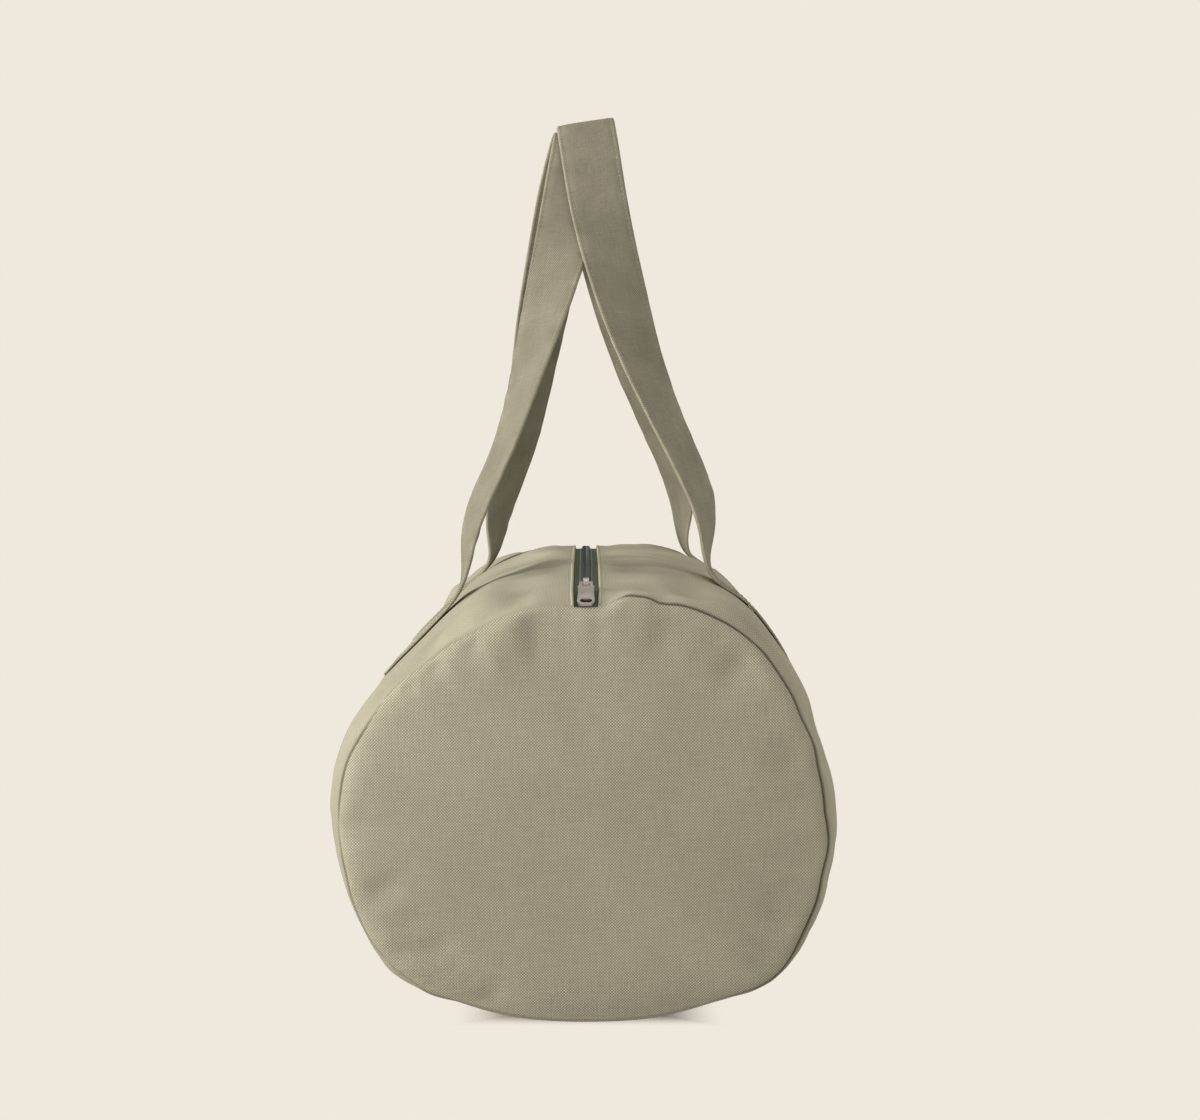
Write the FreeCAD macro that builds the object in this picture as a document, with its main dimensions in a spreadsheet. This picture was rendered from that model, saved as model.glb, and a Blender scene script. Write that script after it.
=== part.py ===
"""Barrel bag: a canvas drum lying on its side, with a zipped mouth in the top and two strap handles.

Millimetres. The origin is on the floor under the middle of the bag, +Z is up, the barrel lies
along Y, and the end with the closed zip slider faces -Y.
"""
import math
import os

import FreeCAD
import Part
from FreeCAD import Placement, Rotation, Vector

# Driving lengths, in millimetres
LENGTHS = {
    "barrel_length": 460,
    "barrel_half_width": 137.5,
    "barrel_rise": 130,
    "barrel_drop": 118,
    "top_flat": 1.5,
    "bottom_flat": 2,
    "round_over": 28,
    "cloth": 1.6,
    "sew_gap": 0.05,
    "panel_crown": 8,
    "binding_width": 10,
    "binding_thickness": 1.2,
    "mouth_half_width": 56,
    "mouth_end_margin": 53,
    "mouth_split": 0.4,
    "zip_gap": 14,
    "zip_end_margin": 17,
    "tape_width": 12,
    "tape_thickness": 0.6,
    "chain_gap": 2.4,
    "coil_diameter": 2,
    "slider_length": 12,
    "slider_width": 9,
    "slider_plate": 1,
    "slider_flange": 0.7,
    "slider_slip": 0.25,
    "slider_corner": 2.5,
    "post_diameter": 1.6,
    "post_setback": 2.5,
    "crown_width": 3,
    "crown_length": 8,
    "crown_height": 4.6,
    "crown_lead": 2,
    "crown_bar": 1.2,
    "crown_corner": 1,
    "pull_length": 24,
    "pull_eye_width": 7.2,
    "pull_tip_width": 10,
    "pull_thickness": 1.4,
    "pull_bar_diameter": 1.5,
    "pull_bar_height": 2.2,
    "pull_play": 0.4,
    "pull_eye_length": 4.2,
    "pull_corner": 3.6,
    "pull_hole_length": 6.6,
    "pull_hole_width": 4,
    "pull_hole_margin": 3.7,
    "pull_clearance": 0.6,
    "strap_width": 36,
    "strap_thickness": 3,
    "handle_foot": 68.5,
    "handle_spread": 110,
    "handle_rise": 276.5,
    "handle_top_offset": 3,
    "handle_nest_gap": 2,
    "hinge_gap": 0.3,
    "strap_roll_inset": 0.1,
    "strap_end_lap": 2.5,
    "strap_end_drop": 40,
    "thread": 0.4,
    "thread_side_margin": 4,
    "thread_end_margin": 8,
}

# Lengths that follow from them
DERIVED_LENGTHS = {
    "barrel_centre": "barrel_drop - bottom_flat",
    "top_height": "barrel_centre + barrel_rise - top_flat",
    "zip_half_length": "barrel_length / 2 - zip_end_margin",
    "mouth_half_length": "zip_half_length - mouth_end_margin",
    "handle_top": "top_height + handle_rise",
}

# The barrel's section is a superellipse; its ends shrink towards the seams by a parabola
SECTION_POWER = 2.3
SECTION_POINT_COUNT = 48
END_SHARE = 0.927
ROUND_OVER_SHARES = (0, 0.25, 0.5, 0.75, 1)

# The end panels' soft crown: how far in from the edge, and how far out
CROWN_INSET_SHARES = (0.07, 0.15, 0.3, 0.6)
CROWN_RISE_SHARES = (0, 0.5, 0.85, 1)

# One handle leg from its foot to the top of the loop: the height climbed, the lean towards the
# middle, the distance still to go to the middle, the quarter turn made, and the nesting outwards
LEG_RISE_SHARES = (0, 0.08, 0.18, 0.28, 0.38, 0.48, 0.6, 0.8, 0.93, 1)
LEG_LEAN_SHARES = (0, 0.01, 0.09, 0.25, 0.41, 0.55, 0.69, 0.88, 0.96, 1)
LEG_SPREAD_SHARES = (1, 0.99, 0.94, 0.87, 0.79, 0.7, 0.57, 0.33, 0.15, 0)
LEG_TURN_SHARES = (0, 0.12, 0.28, 0.32, 0.39, 0.5, 0.68, 0.96, 1, 1)
LEG_NEST_SHARES = (0, 0.15, 0.35, 0.55, 0.75, 0.95, 1, 1, 1, 0)

LEFT, RIGHT = -1, 1
FRONT, REAR = -1, 1

document = FreeCAD.newDocument("barrel_bag")
sheet = document.addObject("Spreadsheet::Sheet", "sizes")
cells = {alias: str(length) for alias, length in LENGTHS.items()}
cells.update({alias: f"={formula}" for alias, formula in DERIVED_LENGTHS.items()})
for row, (alias, content) in enumerate(cells.items(), start=1):
    sheet.set(f"A{row}", alias)
    sheet.setAlias(f"B{row}", alias)
    sheet.set(f"B{row}", content)
document.recompute()


def size(alias):
    """A driving length, as the sheet holds it."""
    return float(sheet.get(alias))


nodes = {}


def keep(name, item):
    """Give an object its node name and list it for writing."""
    item.Label = name
    nodes[name] = item
    return item


def keep_shape(name, shape):
    """Hold a soft shape, which no sketch or primitive fits, as a node."""
    feature = document.addObject("Part::Feature", name)
    feature.Shape = shape
    return keep(name, feature)


def bind(item, **expressions):
    """Bind properties to the sheet; two underscores stand for a dot in a property's path."""
    for path, expression in expressions.items():
        item.setExpression(path.replace("__", "."), expression)


# Barrel section

def outline_point(angle, scale, inset):
    """The section's point at an angle from +X, as (x, z)."""
    across = math.cos(angle)
    up = math.sin(angle)
    height = size("barrel_rise") if up > 0 else size("barrel_drop")
    bend = 2 / SECTION_POWER
    x = (size("barrel_half_width") * scale - inset) * math.copysign(abs(across) ** bend, across)
    z = size("barrel_centre") + (height * scale - inset) * math.copysign(abs(up) ** bend, up)
    return x, z


def outline_wire(y, scale, inset):
    """The section as a closed curve, starting from the bottom."""
    points = []
    for step in range(SECTION_POINT_COUNT):
        x, z = outline_point(math.tau * (step / SECTION_POINT_COUNT - 1 / 4), scale, inset)
        points.append(Vector(x, y, z))
    curve = Part.BSplineCurve()
    curve.interpolate(Points=points, PeriodicFlag=True)
    return Part.Wire(curve.toShape())


def outline_prism(y_from, y_to, scale, inset):
    """The section drawn out straight along Y."""
    face = Part.Face(outline_wire(y_from, scale, inset))
    return face.extrude(Vector(0, y_to - y_from, 0))


def upper_point(x, outset):
    """A point over the top of the section at x, moved out along its normal, as (x, z)."""
    half_width = size("barrel_half_width")
    rise = size("barrel_rise")
    across = x / half_width
    up = (1 - across ** SECTION_POWER) ** (1 / SECTION_POWER)
    normal = Vector(across ** (SECTION_POWER - 1) / half_width, 0, up ** (SECTION_POWER - 1) / rise)
    normal.normalize()
    return x + outset * normal.x, size("barrel_centre") + rise * up + outset * normal.z


def end_stations():
    """How far along and how large the section is, from the start of the rounded end to the seam."""
    stations = []
    for share in ROUND_OVER_SHARES:
        y = size("barrel_length") / 2 - size("round_over") * (1 - share)
        stations.append((y, 1 - (1 - END_SHARE) * share ** 2))
    return stations


def barrel_solid(inset, overrun):
    """The whole drum as one solid, inset all round and run past both ends."""
    stations = end_stations()
    if overrun:
        stations.append((size("barrel_length") / 2 + overrun, END_SHARE))
    wires = [outline_wire(-y, scale, inset) for y, scale in reversed(stations)]
    wires += [outline_wire(y, scale, inset) for y, scale in stations]
    return Part.makeLoft(wires, True, True)


def box_between(x_range, y_range, z_range):
    """A box from its limits on each axis, in either order."""
    low = Vector(min(x_range), min(y_range), min(z_range))
    high = Vector(max(x_range), max(y_range), max(z_range))
    span = high - low
    return Part.makeBox(span.x, span.y, span.z, low)


def level_slab(bottom, top):
    """Everything between two heights, wider and longer than the bag."""
    reach = size("barrel_length")
    return box_between((-reach, reach), (-reach, reach), (bottom, top))


# Canvas wall, with the mouth's two strips cut free of it

cloth = size("cloth")
top_height = size("top_height")
half_length = size("barrel_length") / 2
sew_gap = size("sew_gap")
mouth_floor = size("barrel_centre") + size("barrel_rise") / 2

outside = barrel_solid(0, 0).common(level_slab(0, top_height))
inside = barrel_solid(cloth, cloth).common(level_slab(cloth, top_height - cloth))
zip_half_gap = size("zip_gap") / 2
zip_end = size("zip_half_length")
zip_slot = box_between((-zip_half_gap, zip_half_gap), (-zip_end, zip_end), (mouth_floor, 2 * top_height))
shell = outside.cut(inside).cut(zip_slot)

half_split = size("mouth_split") / 2
mouth_edge = size("mouth_half_width")
mouth_end = size("mouth_half_length")
mouth_space = box_between(
    (-mouth_edge - half_split, mouth_edge + half_split),
    (-mouth_end - half_split, mouth_end + half_split),
    (mouth_floor, 2 * top_height),
)
keep_shape("barrel_wall", shell.cut(mouth_space))
for side, name in ((LEFT, "left_mouth_flap"), (RIGHT, "right_mouth_flap")):
    strip = box_between(
        (0, side * (mouth_edge - half_split)),
        (-mouth_end + half_split, mouth_end - half_split),
        (mouth_floor, 2 * top_height),
    )
    keep_shape(name, shell.common(strip))

# End panels with a soft crown, and the bound seams inside them


def crown_solid(end, foot):
    """The domed middle of an end panel, standing on the plane at foot."""
    wires = []
    for inset_share, rise_share in zip(CROWN_INSET_SHARES, CROWN_RISE_SHARES):
        y = end * (foot + size("panel_crown") * rise_share)
        wires.append(outline_wire(y, END_SHARE, size("barrel_half_width") * inset_share))
    return Part.makeLoft(wires, True, False)


for end, prefix in ((FRONT, "front"), (REAR, "rear")):
    inner_face = half_length + sew_gap
    outer_face = inner_face + cloth
    plate = outline_prism(end * inner_face, end * outer_face, END_SHARE, 0)
    panel = plate.fuse(crown_solid(end, outer_face)).cut(crown_solid(end, inner_face))
    keep_shape(prefix + "_end_panel", panel)

    binding_inset = cloth + sew_gap
    binding_face = half_length - sew_gap
    binding_back = binding_face - size("binding_thickness")
    ring = outline_prism(end * binding_back, end * binding_face, END_SHARE, binding_inset)
    hole_inset = binding_inset + size("binding_width")
    hole = outline_prism(end * binding_back, end * binding_face, END_SHARE, hole_inset)
    keep_shape(prefix + "_seam_binding", ring.cut(hole))

# Handles: the strap ends sewn to the wall, their thread boxes, and the free loops

strap_width = size("strap_width")
strap_thickness = size("strap_thickness")
handle_foot = size("handle_foot")
handle_spread = size("handle_spread")
strap_end_top = handle_foot - size("strap_end_lap")
strap_end_bottom = upper_point(handle_foot, 0)[1] - size("strap_end_drop")
thread_bed = sew_gap + strap_thickness + sew_gap


def wall_band(low, high, y_middle, width):
    """A layer of even thickness lying on the outside of the wall."""
    y_from = y_middle - width / 2
    y_to = y_middle + width / 2
    return outline_prism(y_from, y_to, 1, -high).cut(outline_prism(y_from, y_to, 1, -low))


def shoulder_box(side, margin, end_margin, y_middle, width):
    """The space over one strap end, drawn in by margins."""
    return box_between(
        (side * (strap_end_top + end_margin), side * 2 * handle_foot),
        (y_middle - width / 2, y_middle + width / 2),
        (strap_end_bottom + margin, 2 * top_height),
    )


thread_boxes = []
for side, side_name in ((LEFT, "left"), (RIGHT, "right")):
    for end, end_name in ((FRONT, "front"), (REAR, "rear")):
        y_middle = end * handle_spread
        layer = wall_band(sew_gap, sew_gap + strap_thickness, y_middle, strap_width)
        strap_end = layer.common(shoulder_box(side, 0, 0, y_middle, strap_width))
        keep_shape(f"{side_name}_{end_name}_strap_end", strap_end)

        thread = size("thread")
        margin = size("thread_side_margin")
        end_margin = size("thread_end_margin")
        width = strap_width - 2 * margin
        layer = wall_band(thread_bed, thread_bed + thread, y_middle, width)
        outer = shoulder_box(side, margin, end_margin, y_middle, width)
        inner = shoulder_box(side, margin + thread, end_margin + thread, y_middle, width - 2 * thread)
        thread_boxes.append(layer.common(outer.cut(inner)))
keep_shape("strap_end_stitching", Part.Compound(thread_boxes))

hinge_outset = sew_gap + strap_thickness + size("hinge_gap") + strap_thickness / 2
hinge_x, hinge_z = upper_point(handle_foot, hinge_outset)


def leg_stations(side, nest):
    """Points up one handle's front leg, over the top and down its rear leg, each with its turn and end."""
    top_x = side * size("handle_top_offset")
    rise = size("handle_top") + nest - hinge_z
    shares = list(zip(LEG_RISE_SHARES, LEG_LEAN_SHARES, LEG_SPREAD_SHARES, LEG_TURN_SHARES, LEG_NEST_SHARES))
    stations = []
    for end, leg in ((FRONT, shares), (REAR, shares[-2::-1])):
        for climbed, lean, spread, turn, nested in leg:
            x = side * hinge_x + (top_x - side * hinge_x) * lean
            y = end * (handle_spread * spread + nest * nested)
            stations.append((Vector(x, y, hinge_z + rise * climbed), math.pi / 2 * turn, end))
    return stations


def handle_solid(side, nest):
    """A flat strap swept round the loop, edge-on at its feet and flat over the top."""
    stations = leg_stations(side, nest)
    path = Part.BSplineCurve()
    points = [point for point, turn, end in stations]
    path.interpolate(Points=points, InitialTangent=Vector(0, 0, 1), FinalTangent=Vector(0, 0, -1))
    sections = []
    for point, turn, end in stations:
        along = path.tangent(path.parameter(point))[0]
        across = Vector(-side * math.sin(turn), end * math.cos(turn), 0)
        across -= along * across.dot(along)
        across.normalize()
        outward = across.cross(along)
        corners = []
        for half_across, half_out in ((-1, -1), (1, -1), (1, 1), (-1, 1)):
            corner = point + across * (half_across * strap_width / 2)
            corners.append(corner + outward * (half_out * strap_thickness / 2))
        sections.append(Part.makePolygon(corners + corners[:1]))
    loop = Part.makeLoft(sections, True, False)
    roll_radius = strap_thickness / 2 - size("strap_roll_inset")
    for end in (FRONT, REAR):
        start = Vector(side * hinge_x, end * handle_spread - strap_width / 2, hinge_z)
        loop = loop.fuse(Part.makeCylinder(roll_radius, strap_width, start, Vector(0, 1, 0)))
    return loop


keep_shape("left_handle", handle_solid(LEFT, 0))
keep_shape("right_handle", handle_solid(RIGHT, strap_thickness + size("handle_nest_gap")))

# Zip tapes and coils, in a middle stretch on each mouth strip and a closed stretch at each end

TAPE_TOP = "(sizes.top_height - sizes.cloth - sizes.sew_gap)"
MIDDLE_LENGTH = "(2 * sizes.mouth_half_length - sizes.mouth_split)"
END_START = "(sizes.mouth_half_length + sizes.mouth_split / 2)"
END_LENGTH = "(sizes.zip_half_length - sizes.mouth_half_length - 2 * sizes.mouth_split)"


def tape(name, side, y_low, y_span):
    """A flat strip of zip tape sewn under the wall's edge."""
    strip = document.addObject("Part::Box", name)
    x_low = "sizes.chain_gap / 2" if side == RIGHT else "-sizes.chain_gap / 2 - sizes.tape_width"
    bind(strip, Length="sizes.tape_width", Width=y_span, Height="sizes.tape_thickness")
    bind(strip, Placement__Base__x=x_low, Placement__Base__y=y_low)
    bind(strip, Placement__Base__z=f"{TAPE_TOP} - sizes.tape_thickness")
    return strip


def coil(name, side, y_low, y_span):
    """The round bar that a row of zip teeth fills, standing on the tape's inner edge."""
    bar = document.addObject("Part::Cylinder", name)
    bar.Placement = Placement(Vector(), Rotation(Vector(1, 0, 0), -90))
    bind(bar, Radius="sizes.coil_diameter / 2", Height=y_span)
    bind(bar, Placement__Base__x=f"{side} * (sizes.chain_gap + sizes.coil_diameter) / 2")
    bind(bar, Placement__Base__y=y_low)
    bind(bar, Placement__Base__z=f"{TAPE_TOP} + sizes.coil_diameter / 2")
    return bar


for make, kind in ((tape, "tape"), (coil, "coil")):
    for side, name in ((LEFT, "left"), (RIGHT, "right")):
        keep(f"{name}_zip_{kind}", make(f"{name}_zip_{kind}", side, f"-{MIDDLE_LENGTH} / 2", MIDDLE_LENGTH))
    for y_low, name in ((f"-{END_START} - {END_LENGTH}", "front"), (END_START, "rear")):
        pair = document.addObject("Part::Compound", f"{name}_zip_{kind}_ends")
        pair.Links = [make(f"{name}_{kind}_end", side, y_low, END_LENGTH) for side in (LEFT, RIGHT)]
        keep(f"{name}_zip_{kind}_ends", pair)

# Slider: two plates round the chain, flanges, the divider post and the crown that holds the pull


def add_box(body, kind, name, x_span, y_low, y_span, z_low, z_span, x_low=None):
    """Add or cut a box in a body, centred on X unless x_low is given."""
    block = body.newObject(f"PartDesign::{kind}Box", name)
    bind(block, Length=x_span, Width=y_span, Height=z_span)
    bind(block, Placement__Base__x=x_low or f"-({x_span}) / 2")
    bind(block, Placement__Base__y=y_low, Placement__Base__z=z_low)
    return block


def add_rod(body, kind, name, radius, length, base, rotation):
    """Add or cut a cylinder in a body, from expressions for its base and a fixed turn."""
    rod = body.newObject(f"PartDesign::{kind}Cylinder", name)
    rod.Placement = Placement(Vector(), rotation)
    bind(rod, Radius=radius, Height=length)
    bind(rod, Placement__Base__x=base[0], Placement__Base__y=base[1], Placement__Base__z=base[2])
    return rod


def edges_where(feature, chosen):
    """Names of a feature's straight edges that a test picks from their two ends."""
    names = []
    for number, edge in enumerate(feature.Shape.Edges, start=1):
        if len(edge.Vertexes) == 2 and chosen(edge.Vertexes[0].Point, edge.Vertexes[1].Point):
            names.append(f"Edge{number}")
    return names


def add_fillet(body, base, name, radius, chosen):
    """Round the chosen edges of a body's last feature."""
    document.recompute()
    rounding = body.newObject("PartDesign::Fillet", name)
    rounding.Base = (base, edges_where(base, chosen))
    bind(rounding, Radius=radius)
    document.recompute()
    return rounding


def is_upright(start, finish):
    return abs(start.x - finish.x) + abs(start.y - finish.y) < sew_gap


def is_plate_corner(start, finish):
    return is_upright(start, finish) and abs(start.x) > size("slider_width") / 2 - sew_gap


UNDER_TAPE = "(-sizes.tape_thickness - sizes.slider_slip)"
OVER_COIL = "(sizes.coil_diameter + sizes.slider_slip)"
CROWN_FOOT = f"({OVER_COIL} + sizes.slider_plate)"
CROWN_ARCH = "(sizes.crown_height - sizes.crown_bar)"
PLATE_Y = "-sizes.slider_length / 2"
PLATE_GAP = f"({OVER_COIL} - {UNDER_TAPE})"

slider = keep("slider_body", document.addObject("PartDesign::Body", "slider_body"))
bottom_plate_z = f"{UNDER_TAPE} - sizes.slider_plate"
add_box(slider, "Additive", "bottom_plate", "sizes.slider_width", PLATE_Y, "sizes.slider_length",
        bottom_plate_z, "sizes.slider_plate")
post_base = ("0", f"{PLATE_Y} + sizes.post_setback", UNDER_TAPE)
add_rod(slider, "Additive", "post", "sizes.post_diameter / 2", PLATE_GAP, post_base, Rotation())
top_plate = add_box(slider, "Additive", "top_plate", "sizes.slider_width", PLATE_Y, "sizes.slider_length",
                    OVER_COIL, "sizes.slider_plate")
add_fillet(slider, top_plate, "plate_rounding", "sizes.slider_corner", is_plate_corner)
for side, name in ((LEFT, "left_flange"), (RIGHT, "right_flange")):
    flange_x = "sizes.slider_width / 2 - sizes.slider_flange" if side == RIGHT else "-sizes.slider_width / 2"
    add_box(slider, "Additive", name, "sizes.slider_flange", f"{PLATE_Y} + sizes.slider_corner",
            "sizes.slider_length - 2 * sizes.slider_corner", "sizes.slider_slip", "sizes.coil_diameter",
            x_low=flange_x)
crown_y = "-sizes.crown_length / 2 - sizes.crown_lead"
crown = add_box(slider, "Additive", "crown", "sizes.crown_width", crown_y, "sizes.crown_length",
                CROWN_FOOT, "sizes.crown_height")
crown_top = size("coil_diameter") + size("slider_slip") + size("slider_plate") + size("crown_height")


def is_crown_shoulder(start, finish):
    level = min(start.z, finish.z) > crown_top - sew_gap
    return level and abs(start.y - finish.y) < sew_gap


add_fillet(slider, crown, "crown_rounding", "sizes.crown_corner", is_crown_shoulder)
add_box(slider, "Subtractive", "crown_opening", "2 * sizes.crown_width", f"{crown_y} + sizes.crown_bar",
        "sizes.crown_length - 2 * sizes.crown_bar", CROWN_FOOT, CROWN_ARCH)
bind(slider, Placement__Base__y="-sizes.zip_half_length + sizes.mouth_split + sizes.slider_length / 2")
bind(slider, Placement__Base__z=TAPE_TOP)

# Pull tab: a tapered plate with an eye round the crown's front leg and an oval hole near its tip

pull = keep("pull_tab", document.addObject("PartDesign::Body", "pull_tab"))
plate = pull.newObject("PartDesign::AdditiveWedge", "pull_plate")
bind(plate, Ymin="-sizes.pull_length", Ymax="0")
bind(plate, Xmin="-sizes.pull_tip_width / 2", Xmax="sizes.pull_tip_width / 2")
bind(plate, X2min="-sizes.pull_eye_width / 2", X2max="sizes.pull_eye_width / 2")
bind(plate, Zmin="-sizes.pull_thickness / 2", Zmax="sizes.pull_thickness / 2")
bind(plate, Z2min="-sizes.pull_thickness / 2", Z2max="sizes.pull_thickness / 2")
pull_tip = -size("pull_length")


def is_tip_corner(start, finish):
    return is_upright(start, finish) and start.y < pull_tip + sew_gap


add_fillet(pull, plate, "tip_rounding", "sizes.pull_corner", is_tip_corner)
PULL_Z = "-sizes.pull_thickness"
PULL_DEPTH = "2 * sizes.pull_thickness"
add_box(pull, "Subtractive", "pull_eye", "sizes.crown_width + 2 * sizes.pull_play", "-sizes.pull_eye_length",
        "sizes.pull_eye_length + sizes.pull_play", PULL_Z, PULL_DEPTH)
HOLE_Y = "(-sizes.pull_length + sizes.pull_hole_margin)"
HOLE_REACH = "(sizes.pull_hole_length - sizes.pull_hole_width)"
add_box(pull, "Subtractive", "hole_middle", HOLE_REACH, f"{HOLE_Y} - sizes.pull_hole_width / 2",
        "sizes.pull_hole_width", PULL_Z, PULL_DEPTH)
for side, name in ((LEFT, "hole_left"), (RIGHT, "hole_right")):
    hole_base = (f"{side} * {HOLE_REACH} / 2", HOLE_Y, PULL_Z)
    add_rod(pull, "Subtractive", name, "sizes.pull_hole_width / 2", PULL_DEPTH, hole_base, Rotation())
bar_base = ("-sizes.pull_eye_width / 2", "0", "0")
bar_turn = Rotation(Vector(0, 1, 0), 90)
add_rod(pull, "Additive", "pull_bar", "sizes.pull_bar_diameter / 2", "sizes.pull_eye_width", bar_base, bar_turn)
bar_y = f"{crown_y} + sizes.crown_bar + sizes.pull_bar_diameter / 2 + sizes.slider_slip"
bind(pull, Placement__Base__y=f"slider_body.Placement.Base.y / 1 mm + {bar_y}")
bind(pull, Placement__Base__z=f"{TAPE_TOP} + {CROWN_FOOT} + sizes.pull_bar_height")
document.recompute()


def droop_angle(pivot):
    """How far the tab hangs, in degrees, before it meets the slider or the bag's rounded end."""
    plate_top = pivot.z - size("pull_bar_height")
    slider_front = size("slider_length") / 2 - slider.Placement.Base.y
    edges = [(slider_front, plate_top, size("slider_slip"))]
    for y, scale in end_stations() + [(half_length + sew_gap + cloth, END_SHARE)]:
        wall_top = size("barrel_centre") + size("barrel_rise") * scale
        edges.append((y, min(wall_top, top_height), size("pull_clearance")))
    angles = []
    for y, z, clearance in edges:
        reach = y + pivot.y
        drop = pivot.z - z
        if reach > 0:
            standoff = size("pull_thickness") / 2 + clearance
            angles.append(math.atan2(drop, reach) - math.asin(standoff / math.hypot(drop, reach)))
    return math.degrees(min(angles))


pivot = pull.Placement.Base
pull.Placement = Placement(pivot, Rotation(Vector(1, 0, 0), droop_angle(pivot)))

# Check and write

document.recompute()
for item in document.Objects:
    if "Invalid" in item.State or "Error" in item.State:
        raise RuntimeError(f"{item.Label} did not build: {item.State}")
os.makedirs("parts", exist_ok=True)
for name, item in nodes.items():
    if item.Shape.isNull() or not item.Shape.isValid():
        raise RuntimeError(f"{name} has no valid shape")
    item.Shape.exportStep(f"parts/{name}.step")
    print(name, len(item.Shape.Solids), round(item.Shape.Volume))
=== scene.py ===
"""Looks of the barrel bag: its canvas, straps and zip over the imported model, and a plain studio.

Metres, in the model's own frame: the barrel lies along Y, and the end with the slider faces -Y.
"""
import math

import bpy
import numpy as np
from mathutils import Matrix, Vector


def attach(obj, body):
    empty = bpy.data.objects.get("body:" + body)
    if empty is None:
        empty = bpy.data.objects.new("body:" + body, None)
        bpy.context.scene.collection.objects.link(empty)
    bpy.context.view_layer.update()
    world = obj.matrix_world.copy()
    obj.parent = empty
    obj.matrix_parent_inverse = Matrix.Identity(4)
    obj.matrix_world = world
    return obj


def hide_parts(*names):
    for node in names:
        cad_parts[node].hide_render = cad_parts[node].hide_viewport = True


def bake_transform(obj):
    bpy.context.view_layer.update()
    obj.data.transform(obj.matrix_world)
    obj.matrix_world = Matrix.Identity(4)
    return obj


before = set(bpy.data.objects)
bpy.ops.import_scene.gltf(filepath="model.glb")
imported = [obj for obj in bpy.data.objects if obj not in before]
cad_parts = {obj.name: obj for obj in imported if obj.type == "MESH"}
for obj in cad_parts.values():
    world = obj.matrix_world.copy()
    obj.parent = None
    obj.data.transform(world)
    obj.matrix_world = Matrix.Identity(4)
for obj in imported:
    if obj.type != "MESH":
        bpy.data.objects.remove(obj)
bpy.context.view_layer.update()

MM = 0.001

LEFT, RIGHT = -1, 1
FRONT, REAR = -1, 1
SIDES = ((LEFT, "left"), (RIGHT, "right"))
ENDS = ((FRONT, "front"), (REAR, "rear"))

# Sizes repeated from the part's source
HALF_LENGTH = 230 * MM
HALF_WIDTH = 137.5 * MM
CENTRE = 116 * MM
RISE = 130 * MM
DROP = 118 * MM
TOP = 244.5 * MM
ROUND_OVER = 28 * MM
CLOTH = 1.6 * MM
MOUTH_EDGE = 56 * MM
MOUTH_END = 160 * MM
ZIP_EDGE = 7 * MM
ZIP_END = 213 * MM
TAPE_INNER = 0.3 * MM
TAPE_OUTER = 13.2 * MM
TAPE_SINK = 0.3 * MM
TAPE_TOP = TOP - CLOTH - TAPE_SINK
TAPE_THICKNESS = 0.6 * MM
STRAP_WIDTH = 36 * MM
STRAP_THICKNESS = 3 * MM
HANDLE_Y = 110 * MM
HANDLE_TOP = 521 * MM
HANDLE_TOP_X = {LEFT: -2.5 * MM, RIGHT: -0.5 * MM}
HINGE_X = 70.43 * MM
HINGE_Z = 238.34 * MM
NEST = 5 * MM
SECTION_POWER = 2.3
LEG_RISE_SHARES = (0.08, 0.18, 0.28, 0.38, 0.48, 0.6, 0.8, 0.93, 1)
LEG_LEAN_SHARES = (0.01, 0.09, 0.25, 0.41, 0.55, 0.69, 0.88, 0.96, 1)
LEG_SPREAD_SHARES = (0.99, 0.94, 0.87, 0.79, 0.7, 0.57, 0.33, 0.15, 0)
LEG_TURN_SHARES = (0.12, 0.28, 0.32, 0.39, 0.5, 0.68, 0.96, 1, 1)
LEG_NEST_SHARES = (0.15, 0.35, 0.55, 0.75, 0.95, 1, 1, 1, 0)


# Small helpers

def metres(table):
    """Lengths written in millimetres, one or a nested table of them, in metres."""
    if isinstance(table, tuple):
        return tuple(metres(row) for row in table)
    return table * MM


def smooth(value, low, high):
    """0 below low, 1 above high, and an even ramp between; high may be the lower one."""
    share = np.clip((value - low) / (high - low), 0, 1)
    return share * share * (3 - 2 * share)


def bump(value, middle, width):
    """A soft hill of height 1."""
    return np.exp(-((value - middle) / width) ** 2)


def soft_least(first, second, softness):
    """The lesser of two values, rounded where they meet."""
    blend = np.clip(0.5 + (second - first) / (2 * softness), 0, 1)
    return second * (1 - blend) + first * blend - softness * blend * (1 - blend)


def unit(vectors):
    """Vectors drawn out or in to a length of 1."""
    return vectors / np.linalg.norm(vectors, axis=-1, keepdims=True)


def distances(line):
    """How far along a line of points each of them lies."""
    return np.concatenate([[0], np.cumsum(np.linalg.norm(np.diff(line, axis=0), axis=1))])


LATTICE = 48
lattices = {}


def noise(points, cell, seed):
    """Smooth noise from -1 to 1 in space, with about one hill or hollow to a cell."""
    if seed not in lattices:
        lattices[seed] = np.random.default_rng(seed).uniform(-1, 1, (LATTICE, LATTICE, LATTICE))
    values = lattices[seed]
    spots = points / cell
    corner = np.floor(spots).astype(int)
    share = spots - corner
    share = share * share * (3 - 2 * share)
    total = 0
    for step in np.ndindex(2, 2, 2):
        weight = np.prod(np.where(step, share, 1 - share), axis=-1)
        cells = (corner + step) % LATTICE
        total = total + weight * values[cells[..., 0], cells[..., 1], cells[..., 2]]
    return total


def line_noise(distance, cell, seed):
    """Smooth noise from -1 to 1 along a line."""
    distance = np.asarray(distance, float)
    aside = np.full_like(distance, cell / 2)
    return noise(np.stack([distance, aside, aside], axis=-1), cell, seed)


CREASE_END_SHARE = 0.25
CREASE_SWELL = 4 * (1 - CREASE_END_SHARE)


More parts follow.
